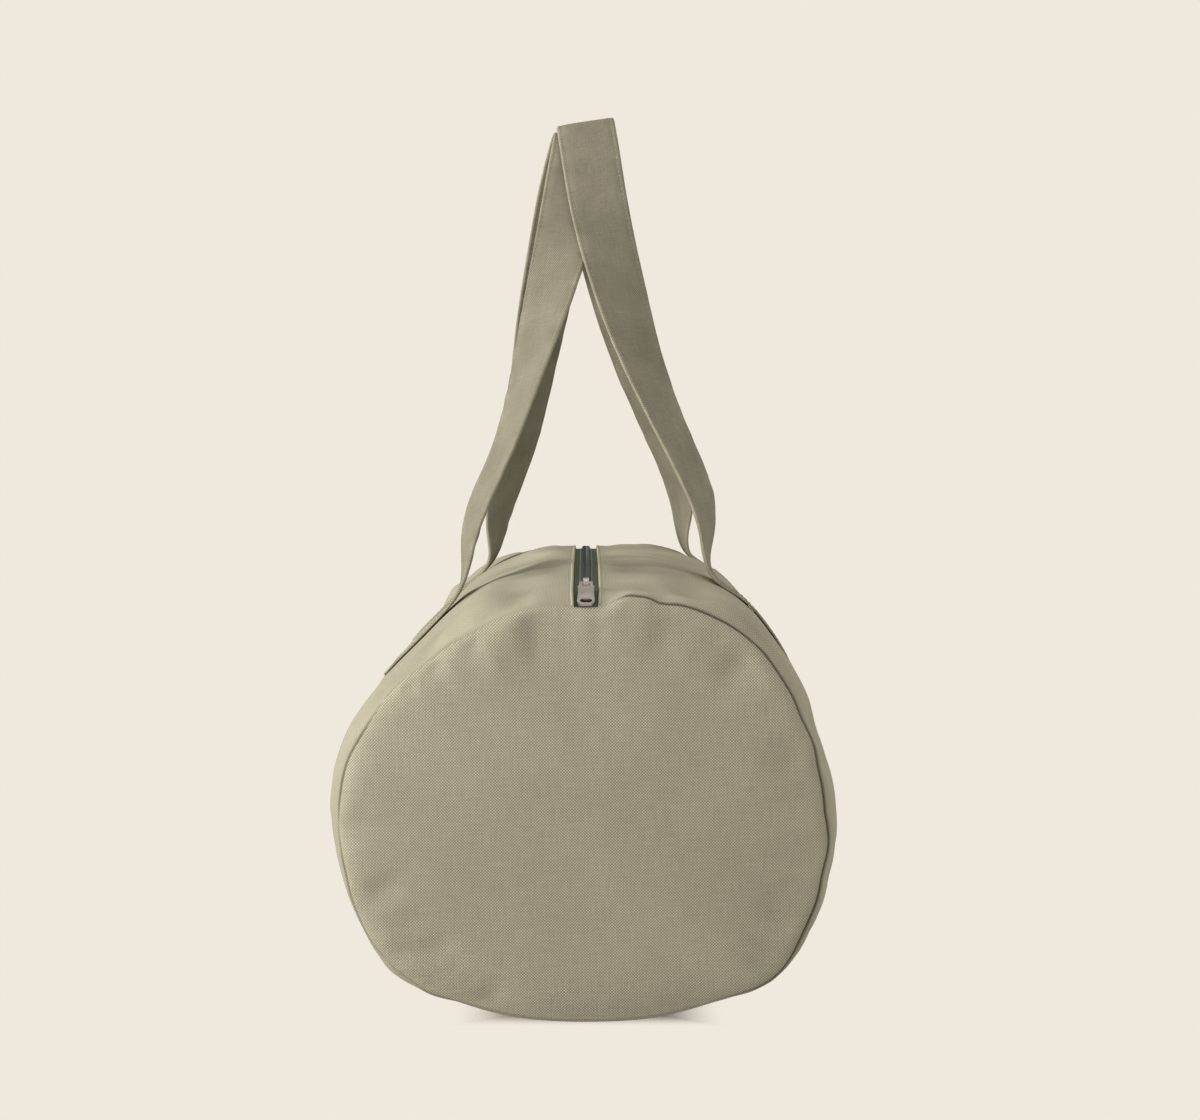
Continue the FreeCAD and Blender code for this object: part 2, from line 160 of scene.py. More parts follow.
def crease(first, second, start, finish, width):
    """A ridge along a segment on a surface, of height 1 in its middle and lower at its two ends."""
    step_first = finish[0] - start[0]
    step_second = finish[1] - start[1]
    span = step_first ** 2 + step_second ** 2
    share = np.clip(((first - start[0]) * step_first + (second - start[1]) * step_second) / span, 0, 1)
    away = np.hypot(first - start[0] - share * step_first, second - start[1] - share * step_second)
    return bump(away, 0, width) * (CREASE_END_SHARE + CREASE_SWELL * share * (1 - share))


# Canvas wall as a surface: "around" is the way round the section from the crest, negative on the
# left, and "along" is the place on the barrel's axis

SECTION_STEPS = 4001
section_angles = np.linspace(math.pi / 2, -math.pi / 2, SECTION_STEPS)
section_heights = np.where(section_angles > 0, RISE, DROP)
section_bend = 2 / SECTION_POWER
section_x = HALF_WIDTH * np.abs(np.cos(section_angles)) ** section_bend
section_z = section_heights * np.sign(section_angles) * np.abs(np.sin(section_angles)) ** section_bend
section_gaps = np.hypot(np.diff(section_x), np.diff(section_z))
section_reach = np.concatenate([[0], np.cumsum(section_gaps)])
HALF_GIRTH = section_reach[-1]

CREST_SOFTNESS = 2.5 * MM
FLOOR_SOFTNESS = 4 * MM
END_SLOPE = 0.5
SECTION_PROBE = 0.5 * MM


def reach_at(x):
    """How far round from the crest the upper wall is x away from the middle."""
    upper = section_angles >= 0
    return np.interp(x, section_x[upper], section_reach[upper])


MOUTH_REACH = reach_at(MOUTH_EDGE)
ZIP_REACH = reach_at(ZIP_EDGE)

# The ring of each end's seam: smaller than the barrel, drawn in at the crest and one shoulder, and wavy
END_SIDE_SHARE = 0.957
CREST_DIP_SHARE = 0.028
CREST_DIP_WIDTH = 24 * MM
SHOULDER_DIP_SHARE = 0.045
SHOULDER_DIP_PLACE = -95 * MM
SHOULDER_DIP_WIDTH = 60 * MM
SEAM_WOBBLE = 4.2 * MM
SEAM_WOBBLE_CELLS = ((34 * MM, 0.7), (16 * MM, 0.3))
SEAM_WOBBLE_SEED = 41
SEAM_TILT = END_SLOPE / math.hypot(1, END_SLOPE)
SEAM_VARIED_SHARE = 0.25
SEAM_VARIED_CELL = 60 * MM
SEAM_VARIED_SEED = 45

# The seam's groove, darkened with painted shade, and the roll and gathers of cloth beside it, painted lighter
# and darker with their relief
GROOVE_DEPTH = 1.2 * MM
GROOVE_WIDTH = 0.42 * MM
GROOVE_SHADE = 17 * MM
ROLL_HEIGHT = 1 * MM
ROLL_DEPTH = 4.5 * MM
PUCKER_HEIGHT = 2 * MM
PUCKER_DEPTH = 8 * MM
PUCKER_CELLS = ((17 * MM, 0.65), (8 * MM, 0.35))
PUCKER_SEED = 11
PUCKER_CALM = (10 * MM, 30 * MM)

# Unevenness of the whole wall, which is calm beside the mouth and under the sewn ends of the straps
WALL_UNEVENNESS = 1.8 * MM
WALL_UNEVENNESS_CELLS = ((85 * MM, 1), (36 * MM, 0.45))
WALL_UNEVENNESS_SEED = 21
CALM_WIDTH = 12 * MM
CALM_START = 40 * MM
SEWN_START = (62 * MM, 74 * MM)
SEWN_STOP = (180 * MM, 160 * MM)

# The top, which its filling lifts along the zip, and the wrinkles that run out from there; the wrinkles get
# painted shade and highlight, and the cloth's edge at the zip a painted highlight
ZIP_LIFT = 8.5 * MM
ZIP_WAVE = 1.4 * MM
ZIP_WAVE_CELL = 32 * MM
ZIP_WAVE_SEED = 35
LIFT_START = 206 * MM
LIFT_FULL = 110 * MM
LIFT_ROUNDING = 0.12
LIFT_CREST = 15 * MM
LIFT_EDGE = 150 * MM
ZIP_PUCKER_HEIGHT = 4.5 * MM
ZIP_PUCKER_CELL = 40 * MM
ZIP_PUCKER_SEED = 31
ZIP_PUCKER_STRETCH = 0.4
ZIP_PUCKER_MEAN = 0.6
ZIP_PUCKER_SHADE = 15 * MM
ZIP_PUCKER_PEAK = 24 * MM
ZIP_PUCKER_REACH = 80 * MM
ZIP_CALM = (12 * MM, 45 * MM)
ZIP_EDGE_LIGHT = 4 * MM
ZIP_EDGE_LIGHT_WIDTH = 1.2 * MM

# How far the seam gapes round an end: place in millimetres round from the crest, positive on the right of
# someone who faces that end, and its share of a full gape
SEAM_GAPE = (
    (-358, 0), (-340, 0.6), (-300, 0.2), (-235, 0.6), (-212, 0.3), (-195, 0.75), (-155, 0.65), (-138, 0.05),
    (0, 0), (16, 0.2), (24, 0.9), (250, 1), (325, 0.7), (345, 0.2), (355, 0),
)

# How far out the seam's ring strays: place round from the crest, seen in the same way, and distance out
SEAM_SHIFTS = metres((
    (11, 0), (23, 7), (33, 6), (41, 4.2), (51, 6.2), (75, 5.2), (105, 4), (130, 0),
    (145, -2.5), (190, -3), (205, -4), (222, -1.5), (285, 0),
))

# Broad swellings and hollows along the barrel: place round from the crest, width and height
WALL_SWELLINGS = metres((
    (85, 38, 6.5),
    (168, 22, -2.5),
    (-35, 30, -2.5),
    (-108, 38, -7),
    (-200, 35, 3),
    (-265, 28, -3),
    (265, 28, -2.5),
))

# The soft bottom of each end, drawn up off the floor
END_RISE = 12.5 * MM
END_RISE_START = 172 * MM
LOW_REACH = (298 * MM, 368 * MM)
LOW_END_SHARE = 0.021

# Soft folds on the wall: where each starts and ends (around, along), its width and its height, which also
# paints a ridge lighter and a hollow darker
WALL_FOLDS = metres((
    ((-150, -135), (-215, -205), 9, -2.2),
    ((-165, -110), (-240, -60), 12, -2.4),
    ((-150, 130), (-225, 205), 10, -2.4),
    ((-180, 95), (-290, 40), 13, -2.2),
    ((150, -135), (225, -200), 9, -2.4),
    ((165, -100), (260, -40), 12, -2.2),
    ((150, 135), (230, 200), 10, -2.2),
    ((175, 105), (300, 150), 12, -2.4),
    ((-300, -180), (-335, 30), 8, -2.6),
    ((-320, -40), (-300, 190), 9, -2.4),
    ((310, -190), (330, 20), 8, -2.6),
    ((330, -10), (305, 195), 9, -2.4),
    ((-205, -30), (-255, 110), 16, -2),
    ((215, -10), (250, -140), 16, -2),
    ((64, -190), (110, -222), 8, -2.2),
    ((30, -188), (46, -222), 8, -1.8),
    ((-34, -186), (-40, -222), 8, -1.6),
    ((-80, -190), (-104, -222), 8, -1.8),
    ((70, 186), (96, 222), 8, -2),
    ((-60, 186), (-92, 222), 8, -2),
    ((-68, -125), (-10, -121), 5, 2),
    ((10, -121), (68, -126), 5, 2.4),
    ((-66, 122), (-12, 118), 5, 1.8),
    ((12, 118), (66, 123), 5, 1.8),
))


def ring_noise(around, end, cell, seed):
    """Noise round an end's seam, the same where the ring closes."""
    ring = np.asarray(around) / HALF_GIRTH * math.pi
    circle = HALF_GIRTH / math.pi
    aside = end * np.full_like(ring, circle)
    return noise(np.stack([circle * np.cos(ring), circle * np.sin(ring), aside], axis=-1), cell, seed)


def layered(noise_at, cells, seed):
    """Noise of several sizes added up, each with its share."""
    return sum(share * noise_at(cell, seed + step) for step, (cell, share) in enumerate(cells))


def seam_noise(around, end, cells, seed):
    """Noise of several sizes round an end's seam."""
    return layered(lambda cell, number: ring_noise(around, end, cell, number), cells, seed)


def low_share(around):
    """1 under the bag, where its ends lie smooth and lift off the floor, and 0 on its sides and top."""
    return smooth(np.abs(around), *LOW_REACH)


def end_share(around, end):
    """How large the seam's ring is beside the barrel: drawn in at the zip and on one shoulder, and wavy."""
    dip = CREST_DIP_SHARE * bump(around, 0, CREST_DIP_WIDTH)
    dip = dip + SHOULDER_DIP_SHARE * bump(-end * around, SHOULDER_DIP_PLACE, SHOULDER_DIP_WIDTH)
    places, shifts = zip(*SEAM_SHIFTS)
    stray = np.interp(-end * np.asarray(around), places, shifts)
    wave = seam_noise(around, end, SEAM_WOBBLE_CELLS, SEAM_WOBBLE_SEED) * smooth(np.abs(around), *PUCKER_CALM)
    stray = stray + SEAM_WOBBLE * wave * (1 - low_share(around))
    return END_SIDE_SHARE + LOW_END_SHARE * low_share(around) - dip + stray / HALF_WIDTH


def seam_opening(around, end):
    """How far an end's seam gapes, as a share: most on the viewer's right, and unevenly."""
    places, shares = zip(*SEAM_GAPE)
    gape = np.interp(-end * np.asarray(around), metres(places), shares)
    varied = 1 + SEAM_VARIED_SHARE * ring_noise(around, end, SEAM_VARIED_CELL, SEAM_VARIED_SEED)
    return np.clip(gape * varied, 0, 1)


def seam_swell(inward, depth):
    """A swelling of height 1 beside a seam, which falls to nothing at the seam itself."""
    return inward / depth * np.exp(1 - inward / depth)


def zip_rise(along):
    """How far the stuffed top lifts the closed zip: nothing at its ends, up a slope to a wavy ridge."""
    ramp = np.clip((LIFT_START - np.abs(along)) / (LIFT_START - LIFT_FULL), 0, None)
    share = np.clip(soft_least(ramp, np.ones_like(ramp), LIFT_ROUNDING), 0, None)
    return share * (ZIP_LIFT + ZIP_WAVE * line_noise(along, ZIP_WAVE_CELL, ZIP_WAVE_SEED))


def wall_relief(around, along):
    """Fine folds of the wall, out from its smooth surface."""
    reach = np.abs(around)
    relief_and_shade = np.zeros_like(around)
    for end in (FRONT, REAR):
        inward = np.clip(HALF_LENGTH - end * along, 0, None)
        gathers = PUCKER_HEIGHT * seam_noise(around, end, PUCKER_CELLS, PUCKER_SEED)
        gathers = gathers * seam_swell(inward, PUCKER_DEPTH)
        relief_and_shade = relief_and_shade + gathers + ROLL_HEIGHT * seam_swell(inward, ROLL_DEPTH)
    relief_and_shade = relief_and_shade * smooth(reach, *PUCKER_CALM) * (1 - low_share(around))
    for start, finish, width, height in WALL_FOLDS:
        relief_and_shade = relief_and_shade + height * crease(around, along, start, finish, width)
    return relief_and_shade


def zip_ripple(around, along):
    """Wrinkles that run out across the top from the zip, as shares of their height."""
    reach = np.abs(around)
    aside = np.full_like(along, ZIP_PUCKER_CELL / 2)
    spots = np.stack([along, around * ZIP_PUCKER_STRETCH, aside], axis=-1)
    ripple = (1 - np.abs(noise(spots, ZIP_PUCKER_CELL, ZIP_PUCKER_SEED))) ** 2 - ZIP_PUCKER_MEAN
    near_zip = smooth(reach, ZIP_PUCKER_REACH, ZIP_PUCKER_PEAK) * smooth(reach, ZIP_REACH, ZIP_PUCKER_PEAK)
    return ripple * near_zip * smooth(np.abs(along), LIFT_START, LIFT_FULL)


def sewn_calm(around, along):
    """0 where a strap's sewn end lies on the wall, so that it lies flat, and 1 away from there."""
    beside = smooth(np.abs(np.abs(along) - HANDLE_Y), STRAP_WIDTH / 2, STRAP_WIDTH)
    reach = np.abs(around)
    under = smooth(reach, *SEWN_START) * smooth(reach, *SEWN_STOP)
    return 1 - (1 - beside) * under


def wall_form(around, along, base):
    """Broad shape of the wall, out from its smooth surface, with none of it where the zip lies."""
    reach = np.abs(around)
    uneven = layered(lambda cell, seed: noise(base, cell, seed), WALL_UNEVENNESS_CELLS, WALL_UNEVENNESS_SEED)
    form = WALL_UNEVENNESS * uneven * sewn_calm(around, along)
    form = form * (1 - low_share(around) * smooth(np.abs(along), MOUTH_END, END_RISE_START))
    for place, width, height in WALL_SWELLINGS:
        form = form + height * bump(around, place, width)
    return form * smooth(reach, *ZIP_CALM)


def section_at(reach):
    """The plain section's place at a distance round from the crest."""
    return np.interp(reach, section_reach, section_x), np.interp(reach, section_reach, section_z)


def smooth_wall(around, along, share):
    """The wall with no folds in it, its ends drawn in to a share of its size, and the way out of it."""
    reach = np.abs(around)
    side = np.sign(around)
    x, z = section_at(reach)
    x_before, z_before = section_at(reach - SECTION_PROBE)
    x_after, z_after = section_at(reach + SECTION_PROBE)
    past = np.clip(1 - (HALF_LENGTH - np.abs(along)) / ROUND_OVER, 0, 1)
    shrink = 1 - (1 - share) * past ** 2
    base = np.stack([side * x * shrink, along, CENTRE + z * shrink], axis=-1)
    base[..., 2] = soft_least(base[..., 2], np.full_like(z, TOP), CREST_SOFTNESS)
    y_slope = np.sign(along) * END_SLOPE * past * 2 * SECTION_PROBE
    return base, unit(np.stack([side * (z_before - z_after), y_slope, x_after - x_before], axis=-1))


def wall_surface(around, along):
    """Points of the wall's outside, and the painted shade and highlight of its folds, wrinkles, seam groove
    and zip edge.
    """
    reach = np.abs(around)
    rear = along > 0
    inward = HALF_LENGTH - np.abs(along)
    share = np.where(rear, end_share(around, REAR), end_share(around, FRONT))
    base, outward = smooth_wall(around, along, share)

    calm_along = smooth(np.abs(along), HALF_LENGTH, ZIP_END)
    calm_along = calm_along * smooth(np.abs(along), MOUTH_END - CALM_START, MOUTH_END)
    calm = 1 - bump(reach, MOUTH_REACH, CALM_WIDTH) * calm_along
    at_seam = smooth(inward, 0, PUCKER_DEPTH)
    gape = np.where(rear, seam_opening(around, REAR), seam_opening(around, FRONT))
    groove = gape * bump(inward, 0, GROOVE_WIDTH)
    flat_share = calm * sewn_calm(around, along)
    relief_and_shade = wall_relief(around, along) * flat_share
    ripple = zip_ripple(around, along) * flat_share
    move = relief_and_shade + ZIP_PUCKER_HEIGHT * ripple - GROOVE_DEPTH * groove
    move = move + wall_form(around, along, base) * calm * at_seam
    points = base + outward * move[..., None]

    points[..., 2] += zip_rise(along) * smooth(reach, LIFT_EDGE, LIFT_CREST)
    points[..., 2] += END_RISE * smooth(np.abs(along), END_RISE_START, HALF_LENGTH) * low_share(around)
    points[..., 2] = -soft_least(-points[..., 2], np.zeros_like(reach), FLOOR_SOFTNESS)
    # Painted light and shade: the folds' relief, extra painted shade on the wrinkles by the zip, painted
    # shade in the seam's groove and a painted highlight on the cloth's edge at the zip
    zip_edge = bump(reach, ZIP_REACH, ZIP_EDGE_LIGHT_WIDTH)
    shade = relief_and_shade + (ZIP_PUCKER_HEIGHT + ZIP_PUCKER_SHADE) * ripple
    return points, shade - GROOVE_SHADE * groove + ZIP_EDGE_LIGHT * zip_edge


def surface_normals(points):
    """Unit normals of a grid of points, out of the bag."""
    down = np.gradient(points, axis=0)
    across = np.gradient(points, axis=1)
    return unit(np.cross(across, down))


# Meshes made of several parts

SHARP_ANGLE = 50
STRAP_SHARP_ANGLE = 80


def add_object(name, data):
    """A new object in the scene."""
    item = bpy.data.objects.new(name, data)
    bpy.context.scene.collection.objects.link(item)
    return item


class Parts:
    """Collects points and faces, each with its material and shading, and makes one object of them."""

    def __init__(self):
        self.points = []
        self.flat = []
        self.relief_and_shade = []
        self.faces = []
        self.face_slots = []
        self.corner_normals = []
        self.count = 0

    def add_points(self, points, flat, relief_and_shade=None):
        """Add points with their places on the flat cloth, and return the first one's number."""
        first = self.count
        points = np.asarray(points, float).reshape(-1, 3)
        self.points.append(points)
        self.flat.append(np.asarray(flat, float).reshape(-1, 2))
        self.relief_and_shade.append(np.zeros(len(points)) if relief_and_shade is None else np.asarray(relief_and_shade, float).reshape(-1))
        self.count += len(points)
        return first

    def add_faces(self, faces, slot=0, normals=None):
        """Add faces by point number; normals are per corner, and left to the mesh where None."""
        faces = np.asarray(faces, int)
        self.faces.extend(faces.tolist())
        self.face_slots.extend([slot] * len(faces))
        if normals is None:
            normals = np.zeros(faces.shape + (3,))
        self.corner_normals.append(np.asarray(normals, float).reshape(-1, 3))

    def make(self, name, materials, sharp_angle=SHARP_ANGLE):
        """The object, with the flat cloth's places as its UV map, in metres."""
        mesh = bpy.data.meshes.new(name)
        mesh.from_pydata(np.concatenate(self.points).tolist(), [], self.faces)
        for material in materials:
            mesh.materials.append(material)
        mesh.polygons.foreach_set("material_index", self.face_slots)
        mesh.shade_smooth()
        mesh.set_sharp_from_angle(angle=math.radians(sharp_angle))
        corners = np.empty(len(mesh.loops), int)
        mesh.loops.foreach_get("vertex_index", corners)
        layer = mesh.uv_layers.new(name="flat")
        layer.data.foreach_set("uv", np.concatenate(self.flat)[corners].astype(np.float32).ravel())
        # The relief attribute carries painted light and shade for the materials
        shade = mesh.attributes.new("relief_and_shade", "FLOAT", "POINT")
        shade.data.foreach_set("value", np.concatenate(self.relief_and_shade).astype(np.float32))
        normals = np.concatenate(self.corner_normals)
        if normals.any():
            mesh.normals_split_custom_set(normals.tolist())
        mesh.update()
        return add_object(name, mesh)


def add_shell(parts, points, normals, flat, kept, relief_and_shade, own_normals=True):
    """A layer of cloth over the kept cells of a grid: outside, inside and the edges between."""
    rows, columns = points.shape[:2]
    number = np.arange(rows * columns).reshape(rows, columns)
    cells = np.stack([number[:-1, :-1], number[:-1, 1:], number[1:, 1:], number[1:, :-1]], axis=-1)[kept]
    used = np.unique(cells)
    place = np.full(rows * columns, -1)
    place[used] = np.arange(len(used))
    outside = place[cells]
    grid_points = points.reshape(-1, 3)[used]
    grid_normals = normals.reshape(-1, 3)[used]
    grid_flat = flat.reshape(-1, 2)[used]
    # Relief and painted shade of the kept points, in millimetres
    grid_relief_and_shade = relief_and_shade.reshape(-1)[used] / MM
    first = parts.add_points(grid_points, grid_flat, grid_relief_and_shade)
    second = parts.add_points(grid_points - CLOTH * grid_normals, grid_flat, -grid_relief_and_shade)
    inside = outside[:, ::-1]
    parts.add_faces(first + outside, normals=grid_normals[outside] if own_normals else None)
    parts.add_faces(second + inside, normals=-grid_normals[inside] if own_normals else None)
    edges = np.stack([outside.T, np.roll(outside, -1, axis=1).T], axis=-1).reshape(-1, 2)
    keys = np.sort(edges, axis=1)
    ignored, inverse, counts = np.unique(keys, axis=0, return_inverse=True, return_counts=True)
    start, finish = edges[counts[inverse.ravel()] == 1].T
    parts.add_faces(np.stack([first + finish, first + start, second + start, second + finish], axis=-1))


def add_tube(parts, points, flat, slot=0, relief_and_shade=None, capped=False):
    """Skin over rings of points, each ring closed on itself; end caps where asked."""
    count, sides = points.shape[:2]
    first = parts.add_points(points, flat, relief_and_shade)
    number = first + np.arange(count * sides).reshape(count, sides)
    following = np.roll(number, -1, axis=1)
    cells = np.stack([number[:-1], following[:-1], following[1:], number[1:]], axis=-1).reshape(-1, 4)
    parts.add_faces(cells, slot)
    if capped:
        parts.add_faces([number[0][::-1]], slot)
        parts.add_faces([number[-1]], slot)


def strip_places(across, along):
    """Places on a flat strip: for each step along it, the row of places across it."""
    return np.stack(np.broadcast_arrays(across[None, :], along[:, None]), axis=-1)


def add_round(parts, line, radius, sides, slot=0, light=0):
    """A round strand along a line of points, shaded lighter or darker."""
    forward = unit(np.gradient(line, axis=0))
    aside = unit(np.cross(forward, np.array([0, 0, 1])))
    above = np.cross(aside, forward)
    turn = np.linspace(0, math.tau, sides, endpoint=False)
    ring = aside[:, None, :] * np.cos(turn)[None, :, None] + above[:, None, :] * np.sin(turn)[None, :, None]
    points = line[:, None, :] + radius * ring
    flat = strip_places(radius * turn, distances(line))
    add_tube(parts, points, flat, slot, relief_and_shade=np.full(points.shape[:2], light), capped=True)


# Thread and cord are the second material of their pieces
THREAD_SLOT = 1
STITCH_LENGTH = 2.5 * MM
STITCH_PITCH = 3.3 * MM
STITCH_WIDTH = 0.55 * MM
STITCH_HEIGHT = 0.3 * MM


def add_stitches(parts, line, normals):
    """A row of thread stitches along a line of points on a surface."""
    reach = distances(line)
    middles = np.arange(STITCH_PITCH / 2, reach[-1], STITCH_PITCH)

    def at(distance, values):
        return np.stack([np.interp(distance, reach, values[:, axis]) for axis in range(3)], axis=-1)

    start = at(middles - STITCH_LENGTH / 2, line)
    finish = at(middles + STITCH_LENGTH / 2, line)
    middle = at(middles, line)
    up = unit(at(middles, normals))
    aside = unit(np.cross(finish - start, up)) * STITCH_WIDTH / 2
    high = up * STITCH_HEIGHT
    ring = np.stack([start, finish, middle + aside, middle + high, middle - aside, middle - high], axis=1)
    first = parts.add_points(ring, np.zeros(ring.shape[:2] + (2,)))
    corners = first + np.arange(len(middles))[:, None] * ring.shape[1]
    # Points 0 and 1 are a stitch's tips, and points 2 to 5 go round its middle
    for near, far in ((2, 3), (3, 4), (4, 5), (5, 2)):
        parts.add_faces(corners + np.array([0, near, far]), THREAD_SLOT)
        parts.add_faces(corners + np.array([1, far, near]), THREAD_SLOT)


# Materials

# Canvas
YARN_WANDER = 2.2
YARN_WANDER_PITCHES = 14
SLUB_WIDTH_SHARE = 0.06
CROSSING_RANGE = (-0.35, 0.85)
FIBRES_TO_YARN = 3
FIBRE_RANGE = (0.2, 0.6)
FIBRE_SHARES = (0.7, 1)
FIBRE_HEIGHT_SHARE = 0.5
# Painted light and shade: brightness added to the canvas per millimetre of the relief attribute, lighter on
# ridges and darker in hollows
RELIEF_LIGHT = 0.05
FADE_RANGE = (0.25, 0.75)
WEAVE_HEIGHT = 0.25 * MM
CANVAS_PITCH = 0.8 * MM
CANVAS_PATCH = 62 * MM
STRAP_PITCH = 0.68 * MM
STRAP_PATCH = 26 * MM

# Tape, thread and coil
RIB_SHARE = 0.3
RIB_RANGE = (0.1, 0.9)
RIB_HEIGHT = 0.15 * MM
THREAD_RIB = 0.5 * MM
TAPE_RIB = 0.9 * MM
CORD_RIB = 0.6 * MM
COIL_RIB = 0.7 * MM
BINDING_RIB = 0.7 * MM

# Metal
RIPPLES_TO_METRE = 90
MARKS_TO_METRE = 500
METAL_RANGE = (0.3, 0.7)
METAL_ROUGHNESS = (0.24, 0.36)
RIPPLE_HEIGHT = 0.1 * MM
NICKEL_DARK = (0.27, 0.25, 0.235, 1)
NICKEL_LIGHT = (0.37, 0.34, 0.325, 1)

# A Mix node's sockets for colours come after those for numbers and vectors
MIX_COLOURS = (6, 7)
MIX_RESULT = 2


def linear(red, green, blue):
    """A colour as it is seen on a screen, from 0 to 255, as the shader takes it, by the sRGB curve."""
    def channel(value):
        share = value / 255
        return share / 12.92 if share <= 0.04045 else ((share + 0.055) / 1.055) ** 2.4
    return channel(red), channel(green), channel(blue), 1


class Graph:
    """The nodes of a material or a world, with short ways to add and join them."""

    def __init__(self, owner):
        owner.use_nodes = True
        self.owner = owner
        self.nodes = owner.node_tree.nodes
        self.links = owner.node_tree.links

    def node(self, kind, inputs=None, **settings):
        """A new node with its settings, its inputs joined or set."""
        made = self.nodes.new(f"ShaderNode{kind}")
        for name, value in settings.items():
            setattr(made, name, value)
        self.fill(made, inputs or {})
        return made

    def fill(self, node, inputs):
        """Join other nodes' outputs to a node's inputs, or set them."""
        for key, value in inputs.items():
            if isinstance(value, bpy.types.NodeSocket):
                self.links.new(value, node.inputs[key])
            else:
                node.inputs[key].default_value = value

    def dress(self, inputs):
        """Join or set the inputs of a material's shader."""
        self.fill(self.nodes["Principled BSDF"], inputs)

    def math(self, operation, first, second=0.0, third=0.0):
        """One step of arithmetic on up to three numbers."""
        return self.node("Math", {0: first, 1: second, 2: third}, operation=operation).outputs[0]

    def mix(self, share, first, second):
        """A share of the second colour mixed into the first."""
        inputs = dict(zip(("Factor",) + MIX_COLOURS, (share, first, second)))
        return self.node("Mix", inputs, data_type="RGBA").outputs[MIX_RESULT]

    def spread(self, value, low, high, to_low=0.0, to_high=1.0):
        """A value's range moved to another range, with soft ends."""
        inputs = {"Value": value, "From Min": low, "From Max": high, "To Min": to_low, "To Max": to_high}
        return self.node("MapRange", inputs, interpolation_type="SMOOTHSTEP").outputs[0]

    def noise(self, place, scale, detail):
        """Soft noise from 0 to 1, with about this many hills to a metre."""
        return self.node("TexNoise", {"Vector": place, "Scale": scale, "Detail": detail}).outputs[0]

    def raised(self, height, distance, strength):
        """Normals of a surface raised by a height."""
        return self.node("Bump", {"Height": height, "Distance": distance, "Strength": strength}).outputs[0]


def canvas(name, dark, light, pitch, contrast, slub=0.5, patch=CANVAS_PATCH, fading=0.05):
    """Plain-woven cotton: a checker of raised yarns with light crossings, slubs, fading, soft sheen and
    painted light and shade.
    """
    graph = Graph(bpy.data.materials.new(name))
    place = graph.node("UVMap", uv_map="flat").outputs[0]
    split = graph.node("SeparateXYZ", {0: place}).outputs
    turns = math.pi / pitch
    wander = graph.noise(place, 1 / (YARN_WANDER_PITCHES * pitch), detail=2)
    shift = graph.math("MULTIPLY", graph.math("SUBTRACT", wander, 0.5), YARN_WANDER)
    warp = graph.math("SINE", graph.math("MULTIPLY_ADD", split[0], turns, shift))
    weft = graph.math("SINE", graph.math("MULTIPLY_ADD", split[1], turns, shift))
    checker = graph.math("MULTIPLY", warp, weft)
    yarns = []
    for scale in ((1, SLUB_WIDTH_SHARE, 1), (SLUB_WIDTH_SHARE, 1, 1)):
        stretched = graph.node("Mapping", {"Vector": place, "Scale": scale}).outputs[0]
        yarns.append(graph.noise(stretched, 1 / pitch, detail=1))
    slubs = graph.math("SUBTRACT", graph.math("ADD", *yarns), 1)
    slubs = graph.math("MULTIPLY", slubs, slub)
    crossing = graph.spread(graph.math("ADD", checker, slubs), *CROSSING_RANGE)
    fibre = graph.noise(place, FIBRES_TO_YARN / pitch, detail=2)
    crossing = graph.math("MULTIPLY", crossing, graph.spread(fibre, *FIBRE_RANGE, *FIBRE_SHARES))
    woven = graph.mix(graph.math("MULTIPLY", crossing, contrast), linear(*dark), linear(*light))

    # The relief attribute is painted into the colour as light and shade, and patches of fading are added to
    # it
    relief_and_shade = graph.node("Attribute", attribute_name="relief_and_shade").outputs["Fac"]
    faded = graph.spread(graph.noise(place, 1 / patch, detail=4), *FADE_RANGE, -fading, fading)
    painted_shade_and_fading = graph.math("ADD", graph.math("MULTIPLY", relief_and_shade, RELIEF_LIGHT), faded)
    lighter = {"Value": graph.math("ADD", painted_shade_and_fading, 1), "Color": woven}
    fibre_height = graph.math("MULTIPLY", fibre, FIBRE_HEIGHT_SHARE)
    height = graph.math("ADD", graph.math("ABSOLUTE", checker), fibre_height)
    graph.dress({
        "Base Color": graph.node("HueSaturation", lighter).outputs[0],
        "Normal": graph.raised(height, WEAVE_HEIGHT, strength=0.55),
        "Roughness": 0.92,
        "Specular IOR Level": 0.18,
        "Sheen Weight": 0.22,
        "Sheen Roughness": 0.45,
        "Sheen Tint": linear(*light),
    })
    return graph.owner


def fibre_material(name, dark, light, rib, roughness):
    """Tape, thread or coil: fine ribs across the length, over speckled yarn."""
    graph = Graph(bpy.data.materials.new(name))
    place = graph.node("TexCoord").outputs["Object"]
    flat = graph.node("UVMap", uv_map="flat").outputs[0]
    split = graph.node("SeparateXYZ", {0: flat}).outputs
    ribs = graph.math("SINE", graph.math("MULTIPLY", split[1], math.tau / rib))
    cross = graph.math("SINE", graph.math("MULTIPLY", split[0], math.tau / rib))
    weave = graph.math("MULTIPLY", ribs, cross)
    speckle = graph.noise(place, 1 / rib, detail=3)
    tone = graph.math("ADD", graph.math("MULTIPLY", weave, RIB_SHARE), speckle)
    graph.dress({
        "Base Color": graph.mix(graph.spread(tone, *RIB_RANGE), linear(*dark), linear(*light)),
        "Normal": graph.raised(tone, RIB_HEIGHT, strength=0.5),
        "Roughness": roughness,
        "Specular IOR Level": 0.3,
    })
    return graph.owner


def metal(name, dark, light):
    """Bright plated metal with faint cast ripple and handling marks."""
    graph = Graph(bpy.data.materials.new(name))
    place = graph.node("TexCoord").outputs["Object"]
    cloud = graph.noise(place, RIPPLES_TO_METRE, detail=1)
    marks = graph.noise(place, MARKS_TO_METRE, detail=1)
    graph.dress({
        "Base Color": graph.mix(graph.spread(cloud, *METAL_RANGE), dark, light),
        "Normal": graph.raised(cloud, RIPPLE_HEIGHT, strength=0.06),
        "Roughness": graph.spread(marks, *METAL_RANGE, *METAL_ROUGHNESS),
        "Metallic": 1,
    })
    return graph.owner


